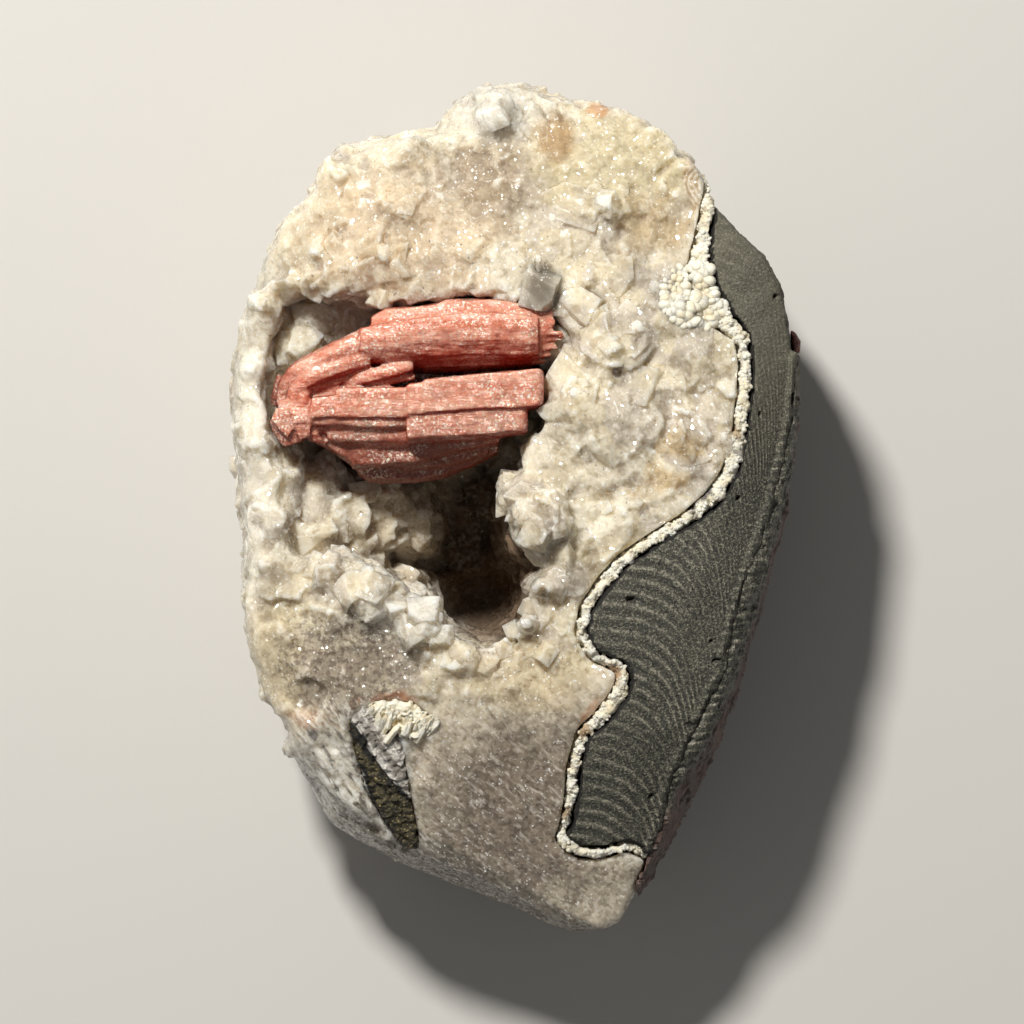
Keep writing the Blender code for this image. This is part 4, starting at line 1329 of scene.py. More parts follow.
FILLING_WIDTHS = (2.2, 5.4)  # the narrowest and the widest of the crystals all over the druse
UP_SHARE = 0.12  # how far they lean from the surface's normal towards straight up
HOLE_BELOW_THE_RIM = (-4.3, -11.3, 20.0, 6.2, 5.7, 14.0)  # a lump's centre and its half size each way


def placed_from_table(tree, table, forms, rng):
    """Where the large crystals of a table stand on the surface below their places."""
    places, axes, widths = [], [], []
    for x, y, width, lean_x, lean_y, rise, *level in table:
        axis = Vector((lean_x, lean_y, 1.0)).normalized()
        height = level[0] if level else height_at(tree, x, y, width * 0.45)
        places.append(Vector((x, y, height)) + axis * width * (0.5 * rise - 0.06))
        axes.append(axis)
        widths.append(0.85 * width)
    count = len(places)
    scale = np.array(widths)[:, None] * rng.uniform(0.95, 1.2, (count, 3))
    turn = frames_from(np.array(axes), rng.uniform(0.0, 2.0 * math.pi, count))
    return forms, rng.integers(0, len(forms), count), turn, scale, np.array(places), rng.random(count)


def single_crystals(forms, which, turn, scale, place, tone):
    """A collection of one object for each crystal, to be united with the mass."""
    crystals = bpy.data.collections.new("crystals")
    bpy.context.scene.collection.children.link(crystals)
    for index in range(len(which)):
        one = slice(index, index + 1)
        obj = joined("crystal", forms, which[one], turn[one], scale[one], place[one], tone[one])
        bpy.context.scene.collection.objects.unlink(obj)
        crystals.objects.link(obj)
    bpy.context.view_layer.update()
    return crystals


def unite(obj, crystals):
    """Unites the crystals with the object and removes them."""
    apply_modifier(
        obj, "BOOLEAN", operation="UNION", operand_type="COLLECTION", collection=crystals, solver="MANIFOLD",
    )
    for crystal in list(crystals.objects):
        mesh = crystal.data
        bpy.data.objects.remove(crystal)
        bpy.data.meshes.remove(mesh)
    bpy.data.collections.remove(crystals)
    bpy.context.view_layer.update()


# ---------------------------------------------------------------- operators

MASS_TRIANGLES = 132000
TONE_REACH = 2.5  # how far a facet's tone reaches
OTHER_TONE = 0.4  # beyond it


class SPECIMEN_OT_quartz(bpy.types.Operator):
    """Cuts the druse's facets into the quartz mass and unites its crystals with it"""
    bl_idname = "specimen.quartz"
    bl_label = "Quartz Druse"

    def execute(self, context):
        sizes = context.scene.specimen.quartz
        rng = np.random.default_rng(sizes.seed)
        mass, (facet_points, facet_tones) = broken_mass(sizes)
        thin_out(mass, MASS_TRIANGLES)
        neighbours = [tree_of(frame["nodes"][node]) for node in ("white_rind", "basalt_block")]
        forms = [block_form(planes, 0.015, 2) for planes in BLOCK_CUTS]
        large = placed_from_table(tree_of(mass), LARGE_CRYSTALS, forms, rng)
        filling = placed_between(mass, neighbours, sizes)
        for group in (filling, large):
            unite(mass, single_crystals(*group))
        tones = KDTree(len(facet_points))
        for index, place in enumerate(facet_points):
            tones.insert(Vector(place), index)
        tones.balance()
        points = points_of(mass)
        nearest = [tones.find(Vector(point)) for point in points]
        tone = [facet_tones[index] if away < TONE_REACH else OTHER_TONE for _place, index, away in nearest]
        store_values(mass, "tone", tone)
        store_values(mass, "druse", druse_weights(points)[1] * calm(points[:, 0], points[:, 1]) ** 0.6)
        finish_piece(mass, finish("milky_quartz"), ("quartz_body",), angle=20.0)
        smoky = joined("smoky_crystals", *placed_from_table(tree_of(mass), SMOKY_CRYSTALS, forms, rng))
        store_values(smoky, "druse", 0.5)
        finish_piece(smoky, finish("smoky_quartz"), angle=20.0)
        return {"FINISHED"}


# ---------------------------------------------------------------- the sheaf's blades

# Lengthwise bodies of the sheaf. A section is its place along the length and its profile (y, z) from the back
# over the top to the front; each body is closed below at its own level.
UPPER_BAND = (29.0, [
    (-19.9, [(22.3, 38.6), (22.1, 40.0), (21.0, 40.2), (20.0, 40.0), (19.2, 39.0), (18.4, 37.4),
             (17.9, 35.0)]),
    (-19.2, [(22.7, 39.4), (22.6, 41.6), (21.2, 42.0), (19.9, 41.7), (18.9, 40.2), (18.1, 38.0),
             (17.7, 35.0)]),
    (-15.5, [(23.4, 39.6), (23.3, 41.9), (21.8, 42.2), (20.4, 41.9), (19.0, 40.6), (17.9, 38.2),
             (17.4, 35.2)]),
    (-11.8, [(23.9, 39.7), (23.8, 42.0), (22.4, 42.3), (21.0, 41.9), (19.3, 40.6), (17.9, 38.0),
             (17.2, 35.0)]),
    (-7.5, [(24.5, 39.7), (24.4, 42.0), (22.8, 42.4), (21.2, 42.0), (19.4, 40.6), (17.9, 38.0),
            (17.0, 35.0)]),
    (-2.8, [(24.7, 39.6), (24.6, 41.8), (23.0, 42.2), (21.2, 41.8), (19.4, 40.4), (18.0, 38.0),
            (17.2, 35.0)]),
    (1.7, [(24.3, 39.4), (24.2, 41.3), (22.8, 41.7), (20.9, 41.3), (19.4, 39.9), (18.3, 37.8), (17.8, 35.0)]),
    (2.9, [(24.1, 39.2), (24.0, 40.7), (22.6, 41.1), (20.8, 40.7), (19.5, 39.4), (18.6, 37.4), (18.2, 35.0)]),
])
BACK_PLATES = [
    (29.0, [
        (-18.0, [(24.2, 38.2), (24.0, 40.0), (22.6, 40.9)]),
        (-16.2, [(25.2, 38.4), (25.0, 40.2), (23.0, 41.1)]),
        (-12.6, [(25.4, 38.5), (25.2, 40.5), (23.4, 41.2)]),
        (-8.9, [(25.9, 38.5), (25.6, 40.7), (24.0, 41.3)]),
    ]),
    (29.0, [
        (-9.6, [(25.9, 38.2), (25.7, 40.6), (23.9, 41.4)]),
        (-8.7, [(26.3, 38.2), (26.1, 40.6), (24.0, 41.4)]),
        (-3.0, [(26.4, 38.0), (26.2, 40.4), (24.2, 41.2)]),
        (2.0, [(25.8, 37.8), (25.6, 40.0), (23.8, 40.8)]),
    ]),
    (30.0, [
        (1.4, [(25.2, 37.8), (25.1, 40.3), (21.5, 40.6), (19.6, 39.2), (19.3, 36.0)]),
        (3.4, [(25.1, 37.6), (25.0, 39.9), (22.3, 40.2), (20.2, 39.0), (19.6, 36.0)]),
        (4.7, [(25.3, 37.4), (25.2, 39.4), (23.0, 39.8), (21.2, 38.8), (20.6, 36.0)]),
    ]),
]
# The strip below the gap. The blocks along it stand a little higher or lower than one another.
STRIP = [
    (28.0, [
        (-25.7, [(12.6, 39.8), (12.5, 42.0), (11.4, 42.0), (11.0, 40.0)]),
        (-25.2, [(14.1, 40.0), (14.0, 42.4), (11.5, 42.3), (11.1, 40.4)]),
        (-22.0, [(14.4, 40.2), (14.3, 42.8), (11.6, 42.5), (11.2, 40.6)]),
    ]),
    (28.0, [
        (-22.3, [(15.2, 40.2), (15.1, 42.9), (11.5, 42.6), (11.1, 40.6)]),
        (-17.5, [(15.25, 40.2), (15.1, 43.1), (11.5, 42.7), (11.1, 40.8)]),
        (-13.3, [(15.3, 40.2), (15.2, 43.2), (11.6, 42.9), (11.2, 41.0)]),
    ]),
    (28.0, [
        (-13.45, [(15.7, 40.3), (15.6, 43.45), (11.9, 43.1), (11.5, 41.0)]),
        (-11.2, [(16.0, 40.3), (15.9, 43.5), (12.0, 43.15), (11.6, 41.0)]),
    ]),
    (28.0, [
        (-11.4, [(16.3, 40.4), (16.2, 43.75), (12.1, 43.3), (11.8, 41.0)]),
        (-5.0, [(16.9, 40.4), (16.8, 43.8), (12.6, 43.3), (12.2, 41.0)]),
        (0.6, [(17.4, 40.4), (17.3, 43.7), (12.7, 43.2), (12.3, 41.0)]),
        (3.0, [(17.6, 40.2), (17.5, 43.5), (13.0, 43.0), (12.7, 41.0)]),
        (3.5, [(17.3, 40.0), (17.2, 42.6), (13.2, 42.2), (13.0, 40.6)]),
    ]),
]
SECOND_STRIP = [
    (28.0, [
        (-25.5, [(12.0, 40.4), (11.8, 41.7), (10.6, 41.3), (9.6, 40.0), (9.4, 38.6)]),
        (-21.0, [(12.0, 40.6), (11.8, 42.0), (10.6, 41.6), (9.8, 40.2), (9.5, 38.6)]),
        (-17.0, [(12.0, 40.6), (11.8, 42.1), (10.4, 41.8), (9.6, 40.2), (9.3, 38.6)]),
        (-13.2, [(12.0, 40.8), (11.8, 42.2), (10.6, 41.7), (9.8, 40.3), (9.5, 38.6)]),
    ]),
    (28.0, [
        (-23.4, [(10.4, 39.0), (10.2, 40.3), (8.9, 39.9), (8.1, 38.4), (8.0, 37.0)]),
        (-18.4, [(10.2, 39.0), (10.0, 40.6), (8.6, 40.2), (7.7, 38.6), (7.6, 37.0)]),
        (-13.2, [(10.4, 39.0), (10.2, 40.8), (8.6, 40.2), (7.6, 38.8), (7.5, 37.0)]),
    ]),
    (28.0, [
        (-13.5, [(12.3, 41.0), (12.1, 42.7), (9.0, 42.2), (8.4, 41.2), (8.2, 38.6)]),
        (-5.0, [(12.8, 41.0), (12.6, 42.7), (9.4, 42.2), (8.8, 41.2), (8.6, 38.6)]),
        (0.9, [(12.9, 41.0), (12.7, 42.5), (10.0, 42.1), (9.6, 41.2), (9.4, 38.6)]),
        (1.5, [(12.4, 40.6), (12.2, 41.8), (10.2, 41.4), (9.8, 40.8), (9.6, 38.6)]),
    ]),
]
UNDER_PLATES = [
    (27.0, [
        (-25.3, [(11.0, 37.6), (10.8, 39.4), (9.0, 39.0), (8.6, 38.0)]),
        (-22.6, [(11.0, 37.4), (10.8, 39.4), (7.4, 38.6), (7.0, 37.0)]),
        (-20.2, [(11.0, 36.8), (10.8, 39.0), (5.8, 37.6), (5.3, 36.0)]),
    ]),
    (27.0, [
        (-20.4, [(9.6, 36.8), (9.4, 39.0), (5.6, 37.8), (5.1, 36.4)]),
        (-12.4, [(9.6, 36.8), (9.4, 39.2), (6.0, 38.0), (5.6, 36.4)]),
        (-9.3, [(9.8, 36.8), (9.6, 39.0), (6.9, 38.0), (6.5, 36.6)]),
        (-2.0, [(10.4, 36.8), (10.2, 38.8), (8.6, 38.2), (8.2, 36.8)]),
    ]),
    (26.0, [
        (-19.8, [(8.2, 33.4), (8.0, 35.6), (5.0, 34.8), (4.5, 33.0)]),
        (-18.2, [(8.4, 33.4), (8.2, 35.8), (3.9, 34.4), (3.4, 32.4)]),
        (-13.0, [(8.6, 33.4), (8.4, 36.0), (3.8, 34.4), (3.3, 32.4)]),
        (-8.8, [(8.8, 33.4), (8.6, 36.0), (4.5, 34.8), (4.0, 32.8)]),
        (-5.6, [(9.2, 33.6), (9.0, 36.2), (5.6, 35.2), (5.2, 33.4)]),
        (-2.2, [(9.8, 34.0), (9.6, 36.4), (7.4, 35.6), (7.0, 34.0)]),
    ]),
    (26.0, [
        (-14.0, [(8.0, 34.6), (7.8, 37.2), (5.2, 36.2), (4.7, 34.6)]),
        (-8.0, [(8.4, 34.6), (8.2, 37.4), (5.8, 36.4), (5.2, 34.8)]),
        (-3.4, [(9.6, 34.8), (9.4, 37.6), (7.0, 36.8), (6.6, 35.2)]),
    ]),
]
# Strands that bend round to the sheaf's left end: points (x, y, z, radius)
STRANDS = [
    [(-18.6, 21.2, 39.6, 1.5), (-21.5, 20.0, 39.7, 1.5), (-24.6, 18.5, 39.4, 1.4), (-27.0, 17.4, 38.8, 1.3),
     (-28.5, 15.8, 38.0, 1.1), (-29.2, 13.8, 37.2, 0.9), (-29.1, 12.8, 36.6, 0.7)],
    [(-18.4, 19.2, 39.2, 1.5), (-21.8, 18.1, 39.6, 1.4), (-24.8, 17.0, 39.8, 1.3), (-26.7, 15.8, 39.6, 1.15),
     (-27.7, 14.4, 39.2, 1.0), (-27.8, 13.0, 38.8, 0.9)],
    [(-19.0, 17.6, 37.2, 1.3), (-22.0, 16.6, 38.0, 1.2), (-24.2, 15.8, 38.6, 1.0), (-25.4, 15.1, 38.8, 0.7)],
    [(-26.2, 15.4, 39.3, 0.9), (-26.6, 14.2, 39.5, 0.95), (-26.4, 13.2, 39.4, 0.8)],
    [(-21.2, 15.9, 38.0, 0.55), (-19.2, 16.5, 38.9, 0.9), (-16.6, 17.1, 39.4, 0.95), (-14.2, 17.6, 39.4, 0.9),
     (-12.8, 18.0, 39.0, 0.6)],
    [(-20.4, 15.6, 37.4, 0.5), (-17.6, 15.9, 38.2, 0.6), (-14.8, 16.3, 38.4, 0.6), (-12.6, 16.8, 38.0, 0.5)],
    [(-28.9, 16.6, 37.0, 1.0), (-29.7, 14.9, 36.4, 0.9), (-29.9, 13.2, 35.6, 0.8)],
    # rod ends that stick out of the frayed right end
    [(1.8, 22.0, 39.5, 0.45), (5.9, 22.0, 39.4, 0.32)], [(2.4, 21.2, 39.1, 0.4), (5.8, 21.3, 38.8, 0.26)],
    [(2.4, 20.2, 38.8, 0.5), (5.2, 20.4, 38.4, 0.4)], [(1.8, 24.4, 39.8, 0.45), (4.9, 24.8, 39.5, 0.4)],
    [(2.0, 19.2, 38.4, 0.5), (4.4, 19.5, 37.8, 0.42)], [(2.0, 23.2, 39.9, 0.5), (5.0, 23.3, 39.6, 0.36)],
    [(2.0, 18.5, 37.4, 0.5), (3.7, 18.7, 36.8, 0.42)], [(3.0, 21.7, 38.2, 0.5), (6.1, 21.7, 37.9, 0.3)],
]
# Small facetted blocks of the left end: the corners of the top, and the level that they go down to
END_BLOCKS = [
    ([(-30.4, 11.2, 40.2), (-29.8, 12.6, 40.6), (-27.9, 12.9, 41.2), (-27.4, 10.6, 41.4),
      (-28.4, 8.9, 40.6)], 33.0),
    ([(-28.2, 12.9, 41.4), (-25.3, 12.7, 41.8), (-25.2, 11.0, 41.9), (-27.6, 10.8, 41.6)], 33.0),
    ([(-27.9, 11.0, 41.2), (-25.3, 11.2, 41.7), (-25.6, 9.2, 41.3), (-26.8, 8.7, 41.0)], 33.0),
    ([(-30.6, 11.0, 39.2), (-28.6, 10.4, 40.6), (-26.6, 8.6, 40.4), (-28.8, 7.9, 38.6),
      (-30.2, 9.6, 38.4)], 33.0),
    ([(-29.9, 13.6, 38.8), (-28.4, 13.9, 39.8), (-25.8, 13.2, 39.9), (-25.6, 12.5, 39.6),
      (-29.4, 12.4, 39.2)], 33.0),
    ([(-26.2, 9.6, 40.6), (-24.6, 9.5, 40.6), (-23.4, 8.0, 39.6), (-25.6, 8.6, 39.8)], 33.0),
    ([(-27.0, 13.0, 38.6), (-26.6, 16.2, 38.8), (-22.6, 16.8, 38.9), (-22.2, 13.4, 38.6)], 30.0),
]
SHEAF_ROOT = ([
    (-17.4, 8.4, 33.0), (-17.8, 19.4, 34.0), (-8.0, 22.6, 34.0), (2.2, 22.6, 34.0), (1.8, 12.4, 34.0),
    (-6.0, 9.0, 33.0),
], 24.0)


def prism(name, rings):
    """A circle's face shaped to the first ring, then extruded from ring to ring. Rings are in millimetres."""
    bpy.ops.object.select_all(action="DESELECT")
    bpy.ops.mesh.primitive_circle_add(vertices=len(rings[0]), radius=MM, fill_type="NGON")
    body = bpy.context.active_object
    body.name = name
    bpy.ops.object.mode_set(mode="EDIT")
    corner = bmesh.from_edit_mesh(body.data).verts.layers.int.new("corner")
    for number, ring in enumerate(rings):
        if number:
            bpy.ops.mesh.extrude_region_move(TRANSFORM_OT_translate={"value": (0.0, 0.0, MM)})
        bm = bmesh.from_edit_mesh(body.data)
        corner = bm.verts.layers.int["corner"]
        end = next(face for face in bm.faces if face.select)
        for index, vert in enumerate(end.verts):
            if not number:
                vert[corner] = index
            vert.co = Vector(ring[vert[corner]]) * MM
        bmesh.update_edit_mesh(body.data)
    bpy.ops.mesh.select_all(action="SELECT")
    bpy.ops.mesh.normals_make_consistent(inside=False)
    bpy.ops.object.mode_set(mode="OBJECT")
    return body


def lengthwise_body(name, low, sections):
    """A body that runs along the specimen's width, closed below at one level."""
    rings = []
    for x, profile in sections:
        (back, _high), (front, _level) = profile[0], profile[-1]
        rings.append([(x, y, z) for y, z in profile] + [(x, front + 0.3, low), (x, back - 0.3, low)])
    return prism(name, rings)


def upright_block(name, top, low):
    """A block with a sloping many-cornered top and upright sides."""
    return prism(name, [[(x, y, low) for x, y, _z in top], top])


def strand(name, points):
    """A round rod that tapers and bends through the points."""
    curve = bpy.data.curves.new(name, "CURVE")
    curve.dimensions = "3D"
    curve.bevel_depth = MM
    curve.bevel_resolution = 2
    curve.use_fill_caps = True
    spline = curve.splines.new("NURBS" if len(points) > 2 else "POLY")
    spline.points.add(len(points) - 1)
    for place, (x, y, z, radius) in zip(spline.points, points):
        place.co = (x * MM, y * MM, z * MM, 1.0)
        place.radius = radius
    if len(points) > 2:
        spline.order_u = 3
        spline.use_endpoint_u = True
    obj = bpy.data.objects.new(name, curve)
    bpy.context.scene.collection.objects.link(obj)
    pick(obj)
    bpy.ops.object.convert(target="MESH")
    return bpy.context.active_object


BLADE_BEVEL = 0.12


class SPECIMEN_OT_sheaf(bpy.types.Operator):
    """Builds the red sheaf of bladed crystals that lies in the vug"""
    bl_idname = "specimen.sheaf"
    bl_label = "Epistilbite Sheaf"

    def execute(self, context):
        sizes = context.scene.specimen.sheaf
        parts = []
        bodies = [UPPER_BAND, *BACK_PLATES, *STRIP, *SECOND_STRIP, *UNDER_PLATES]
        for number, (low, sections) in enumerate(bodies):
            body = lengthwise_body(f"blade_{number:02d}", low, sections)
            apply_modifier(body, "BEVEL", width=BLADE_BEVEL * MM, segments=1, limit_method="ANGLE")
            parts.append(body)
        for number, (top, low) in enumerate([*END_BLOCKS, SHEAF_ROOT]):
            parts.append(upright_block(f"block_{number:02d}", top, low))
        for number, points in enumerate(STRANDS):
            parts.append(strand(f"strand_{number:02d}", points))
        sheaf = join("epistilbite_crystals", parts)
        remesh(sheaf, sizes.detail / MM, rounds=1)
        self.shape_surface(sheaf, sizes)
        finish_piece(sheaf, finish("epistilbite"), ("epistilbite_sheaf",), angle=35.0)
        return {"FINISHED"}

    def shape_surface(self, sheaf, sizes):
        """Growth lines along the blades, small steps and pits."""
        depth = sizes.striation / MM
        noise_relief(
            sheaf, (("soft", 1.0, 1.6 * depth), ("soft", 0.45, 0.7 * depth), ("facets", 1.1, 0.9 * depth)),
            along=(0.28, 1.0, 1.0),
        )
        noise_relief(sheaf, (("facets", 0.8, 0.5 * depth), ("soft", 2.2, 1.6 * depth)))


# ---------------------------------------------------------------- basalt, rind, crust and inclusion

# Places and widths
SAW_PITS = [(14.4, -11.2, 1.0), (25.0, -18.8, 0.7), (21.9, -26.9, 0.8), (32.5, 26.7, 0.6), (24.5, -16.4, 0.5),
            (20.2, -31.5, 0.6), (27.8, 1.5, 0.5), (30.5, 12.0, 0.4), (17.0, -36.0, 0.5)]


class SPECIMEN_OT_basalt(bpy.types.Operator):
    """Gives the basalt its saw marks, pits and rough flank"""
    bl_idname = "specimen.basalt"
    bl_label = "Sawn Basalt"

    def execute(self, context):
        sizes = context.scene.specimen.rock
        rock = copy_of_node("basalt_block", "basalt_rock")
        remesh(rock, 0.42, rounds=2)
        points, normals = points_of(rock), normals_of(rock)
        x, y, _z = points.T
        face_up = ramp(normals[:, 2], 0.5, 0.8)
        level_at, level_slope, bend = SAW_ARCS
        fall = np.maximum(x - level_at - level_slope * y, 0.0) ** 2 / (2.0 * bend)
        arcs = y + 0.12 * x + fall + 2.2 / bend * fall ** 2
        wave = np.cos(2.0 * np.pi * arcs / (sizes.saw_pitch / MM)) * ramp(fall, 5.0, 3.5)
        sink = -sizes.saw_depth / MM * wave * face_up
        pit = np.zeros(len(points))
        for pit_x, pit_y, width in SAW_PITS:
            away = np.hypot(x - pit_x, (y - pit_y) * 1.3)
            pit = np.maximum(pit, 1.0 - ramp(away, 0.2 * width, 0.75 * width))
        sink -= 0.9 * pit * face_up
        move_points(rock, points + normals * sink[:, None])
        store_values(rock, "pit", pit * face_up)
        near_rind = ~far_from(points, tree_of(frame["nodes"]["white_rind"]), 0.62)
        store_values(rock, "rim", near_rind)
        flank = 1.0 - ramp(normals[:, 2], 0.3, 0.7)
        under_crust = ~far_from(points, tree_of(frame["nodes"]["pink_crust"]), 0.8)
        move_points(rock, points_of(rock) + normals * (0.55 * under_crust)[:, None])
        layers = (("facets", 1.6, 0.25), ("soft", 5.0, 0.3), ("facets", 0.9, 0.12))
        noise_relief(rock, layers, 0.15 + 0.85 * flank)
        finish_piece(rock, finish("sawn_basalt"), ("basalt_block",), angle=40.0)
        return {"FINISHED"}


def bead_form(cuts):
    """A small round bead one unit wide."""
    bpy.ops.object.select_all(action="DESELECT")
    bpy.ops.mesh.primitive_ico_sphere_add(subdivisions=1, radius=0.52)
    bead = bpy.context.active_object
    if cuts:
        bpy.ops.object.mode_set(mode="EDIT")
        bpy.ops.mesh.select_all(action="SELECT")
        bpy.ops.mesh.subdivide(number_cuts=cuts, smoothness=1.0)
        bpy.ops.object.mode_set(mode="OBJECT")
    return take_form(bead)


BEAD_CLUSTER = ((22.4, 26.8), 4.1)  # where the rind's largest beads are: centre and radius


class SPECIMEN_OT_rind(bpy.types.Operator):
    """Builds the white beaded rind between the quartz and the basalt"""
    bl_idname = "specimen.rind"
    bl_label = "White Rind"

    def execute(self, context):
        sizes = context.scene.specimen.rock
        rind = copy_of_node("white_rind", "white_rind_band")
        remesh(rind, 0.40, rounds=1)
        noise_relief(rind, (("facets", 0.9, 0.45), ("soft", 1.6, 0.4)))
        finish_piece(rind, finish("white_rind"), ("white_rind",), angle=50.0)
        rng = np.random.default_rng(31)
        # spacing, the smallest and the largest width, name, seed
        rows = ((0.36, 0.32, 0.74, "rind_beads", 32), (0.6, 0.9, sizes.bead / MM, "rind_bead_cluster", 33))
        (cluster_x, cluster_y), cluster_radius = BEAD_CLUSTER
        mass = bpy.data.objects["quartz_druse"]
        for spacing, small, large, name, seed in rows:
            cluster = name.endswith("cluster")
            beads = [bead_form(1 if cluster else 0)]

            def may_lie(middles, ways):
                distance = np.hypot(middles[:, 0] - cluster_x, middles[:, 1] - cluster_y)
                near = distance < cluster_radius
                return (ways[:, 2] > 0.35) & (middles[:, 2] > 28.0) & (near if cluster else ~near)

            points, normals = scatter(rind, spacing, may_lie, seed)
            if cluster:
                more, ways = scatter(mass, spacing, may_lie, seed + 1)
                points, normals = np.concatenate((points, more)), np.concatenate((normals, ways))
            count = len(points)
            widths = rng.uniform(small, large, count)
            turn = frames_from(normals + rng.normal(0.0, 0.3, (count, 3)), rng.uniform(0.0, 6.28, count))
            scale = widths[:, None] * rng.uniform(0.65, 1.35, (count, 3))
            places = points + normals * (widths * rng.uniform(-0.42, -0.18, count))[:, None]
            piece = joined(name, beads, np.zeros(count, int), turn, scale, places, rng.random(count))
            finish_piece(piece, finish("white_rind"))
        return {"FINISHED"}


class SPECIMEN_OT_crust(bpy.types.Operator):
    """Builds the pink crust on the basalt's flank and the small red crystal at the edge"""
    bl_idname = "specimen.crust"
    bl_label = "Pink Crust"

    def execute(self, context):
        crust = copy_of_node("pink_crust", "pink_crust_skin")
        remesh(crust, 0.42, rounds=1)
        noise_relief(crust, (("facets", 2.4, 0.4), ("facets", 1.0, 0.25)))
        finish_piece(crust, finish("pink_crust"), ("pink_crust",), angle=30.0)
        crystal = copy_of_node("edge_epistilbite", "edge_crystal")
        remesh(crystal, 0.16, rounds=1)
        noise_relief(crystal, (("facets", 0.8, 0.14),))
        finish_piece(crystal, finish("epistilbite"), ("edge_epistilbite",), angle=30.0)
        return {"FINISHED"}


def swell(obj, distance):
    """Moves the whole surface outwards, to close the gap to a neighbour."""
    move_points(obj, points_of(obj) + distance * normals_of(obj))


TEETH = 70
TEETH_LINE = ((-18.4, -24.6), (-9.6, -26.6))  # the row's two ends, seen from above


class SPECIMEN_OT_inclusion(bpy.types.Operator):
    """Builds the dark streaked inclusion and its toothed white rim"""
    bl_idname = "specimen.inclusion"
    bl_label = "Dark Inclusion"

    def execute(self, context):
        streak = copy_of_node("dark_inclusion", "inclusion_streak")
        remesh(streak, 0.22, rounds=1)
        swell(streak, 0.3)
        noise_relief(streak, (("facets", 1.1, 0.35), ("soft", 0.6, 0.3)))
        finish_piece(streak, finish("dark_inclusion"), ("dark_inclusion",), angle=30.0)
        rim = copy_of_node("inclusion_rim", "inclusion_teeth")
        remesh(rim, 0.2, rounds=1)
        swell(rim, 0.3)
        noise_relief(rim, (("facets", 0.9, 0.5), ("soft", 0.5, 0.3)))
        finish_piece(rim, finish("white_rind"), ("inclusion_rim",), angle=30.0)
        rng = np.random.default_rng(41)
        share = rng.random(TEETH)
        row = rng.uniform(-1.0, 1.0, TEETH)
        (left_x, left_y), (right_x, right_y) = TEETH_LINE
        x = left_x + (right_x - left_x) * share + 0.5 * row
        y = left_y + (right_y - left_y) * share + 1.1 * row * (0.4 + 0.6 * np.sin(np.pi * share))
        tree = tree_of(rim)
        places = np.array([(px, py, height_at(tree, px, py, 1.2) + 0.4) for px, py in zip(x, y)])
        axes = np.array((0.35, 0.6, 0.8)) + rng.normal(0.0, 0.3, (TEETH, 3))
        scale = np.array((0.9, 0.7, 1.7)) * rng.uniform(0.5, 1.3, (TEETH, 1))
        teeth = joined(
            "white_teeth", [quartz_form(END_FACES[0], 0.0, 0)], np.zeros(TEETH, int),
            frames_from(axes, rng.uniform(0.0, 6.28, TEETH)), scale, places, rng.random(TEETH),
        )
        finish_piece(teeth, finish("white_rind"), angle=30.0)
        return {"FINISHED"}


# ---------------------------------------------------------------- stage

class SPECIMEN_OT_stage(bpy.types.Operator):
    """Lays the floor and sets the lights and the camera"""
    bl_idname = "specimen.stage"
    bl_label = "Stage"

    def execute(self, context):
        scene = context.scene
        sizes = scene.specimen.stage
        bpy.ops.object.select_all(action="DESELECT")
        bpy.ops.mesh.primitive_plane_add(size=FLOOR_SIZE, location=(0.0, 0.0, FLOOR_LEVEL))
        floor = context.active_object
        floor.name = "floor"
        bpy.ops.object.transform_apply(location=True, rotation=False, scale=False)
        floor.data.materials.append(finish("pale_floor"))

        way = Vector((
            -math.sin(sizes.key_turn) * math.cos(sizes.key_height),
            math.cos(sizes.key_turn) * math.cos(sizes.key_height), math.sin(sizes.key_height),
        ))
        light = bpy.data.lights.new("key_light", "AREA")
        light.shape = "DISK"
        light.size = sizes.key_size
        light.energy = sizes.key_power
        light.color = KEY_COLOUR
        key = bpy.data.objects.new("key_light", light)
        key.location = way * KEY_DISTANCE
        key.rotation_euler = (-way).to_track_quat("-Z", "Y").to_euler()
        scene.collection.objects.link(key)

        world = bpy.data.worlds.new("soft_room")
        world.use_nodes = True
        room = world.node_tree.nodes["Background"].inputs
        room["Color"].default_value = ROOM_COLOUR
        room["Strength"].default_value = sizes.fill
        scene.world = world

        scene.view_settings.view_transform = "Standard"

        lens = bpy.data.cameras.new("camera")
        lens.sensor_width = SENSOR
        lens.lens = SENSOR * (CAMERA_HEIGHT - FACE_LEVEL) / FRAME_SIDE
        lens.clip_start = 0.01
        camera = bpy.data.objects.new("camera", lens)
        camera.location = (FRAME_CENTRE[0] * MM, FRAME_CENTRE[1] * MM, CAMERA_HEIGHT * MM)
        scene.collection.objects.link(camera)
        scene.camera = camera
        return {"FINISHED"}


FINISHES = {}


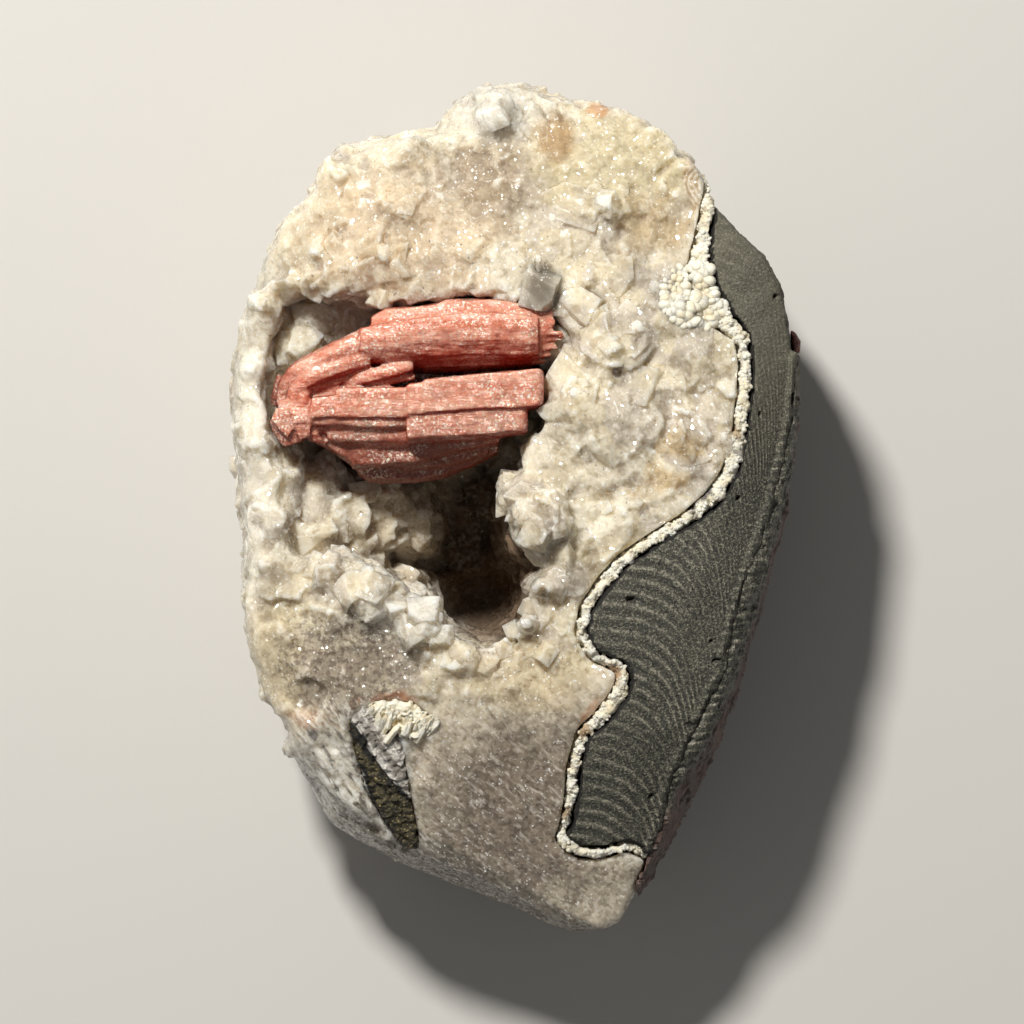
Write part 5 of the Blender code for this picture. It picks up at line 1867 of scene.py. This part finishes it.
def finish(name):
    """The named material. All of them are made when one is first asked for."""
    if not FINISHES:
        groups = {
            "facets": facets_group("Growth Facets", ((1.0, 1.0), (2.7, 0.45))),
            "grains": facets_group("Grain Facets", ((1.0, 1.0),)),
            "zones": zones_group(), "basalt": basalt_group(saw_group()),
        }
        FINISHES["milky_quartz"] = quartz_material("milky_quartz", groups, 0.0, (2600.0, 0.9), 0.075, 0.0026)
        FINISHES["smoky_quartz"] = quartz_material("smoky_quartz", groups, 0.2, (1600.0, 0.3), 0.06, 0.003)
        FINISHES["epistilbite"] = epistilbite_material(groups)
        FINISHES["sawn_basalt"] = basalt_material(groups)
        FINISHES["white_rind"] = rind_material()
        FINISHES["pink_crust"] = crust_material(groups)
        FINISHES["dark_inclusion"] = inclusion_material()
        FINISHES["pale_floor"] = floor_material()
    return FINISHES[name]


# ---------------------------------------------------------------- panel and running

OPERATORS = (
    SPECIMEN_OT_stage, SPECIMEN_OT_quartz, SPECIMEN_OT_sheaf, SPECIMEN_OT_basalt, SPECIMEN_OT_rind,
    SPECIMEN_OT_crust, SPECIMEN_OT_inclusion,
)


class SPECIMEN_PT_panel(bpy.types.Panel):
    """Lists the pieces of the specimen and their settings"""
    bl_idname = "SPECIMEN_PT_panel"
    bl_label = "Epistilbite Specimen"
    bl_space_type = "VIEW_3D"
    bl_region_type = "UI"
    bl_category = "Specimen"

    def draw(self, context):
        layout = self.layout
        for operator in OPERATORS:
            layout.operator(operator.bl_idname)
        settings = context.scene.specimen
        for title in ("Quartz", "Sheaf", "Rock", "Stage"):
            box = layout.box()
            box.label(text=title)
            group = getattr(settings, title.lower())
            for name in group.__annotations__:
                box.prop(group, name)


CLASSES = (
    QuartzSettings, SheafSettings, RockSettings, StageSettings, SpecimenSettings, *OPERATORS,
    SPECIMEN_PT_panel,
)


def register():
    for item in CLASSES:
        bpy.utils.register_class(item)
    bpy.types.Scene.specimen = PointerProperty(type=SpecimenSettings)


def unregister():
    del bpy.types.Scene.specimen
    for item in reversed(CLASSES):
        bpy.utils.unregister_class(item)


def main():
    register()
    for operator in OPERATORS:
        family, name = operator.bl_idname.split(".")
        getattr(getattr(bpy.ops, family), name)()


if __name__ == "__main__":
    main()
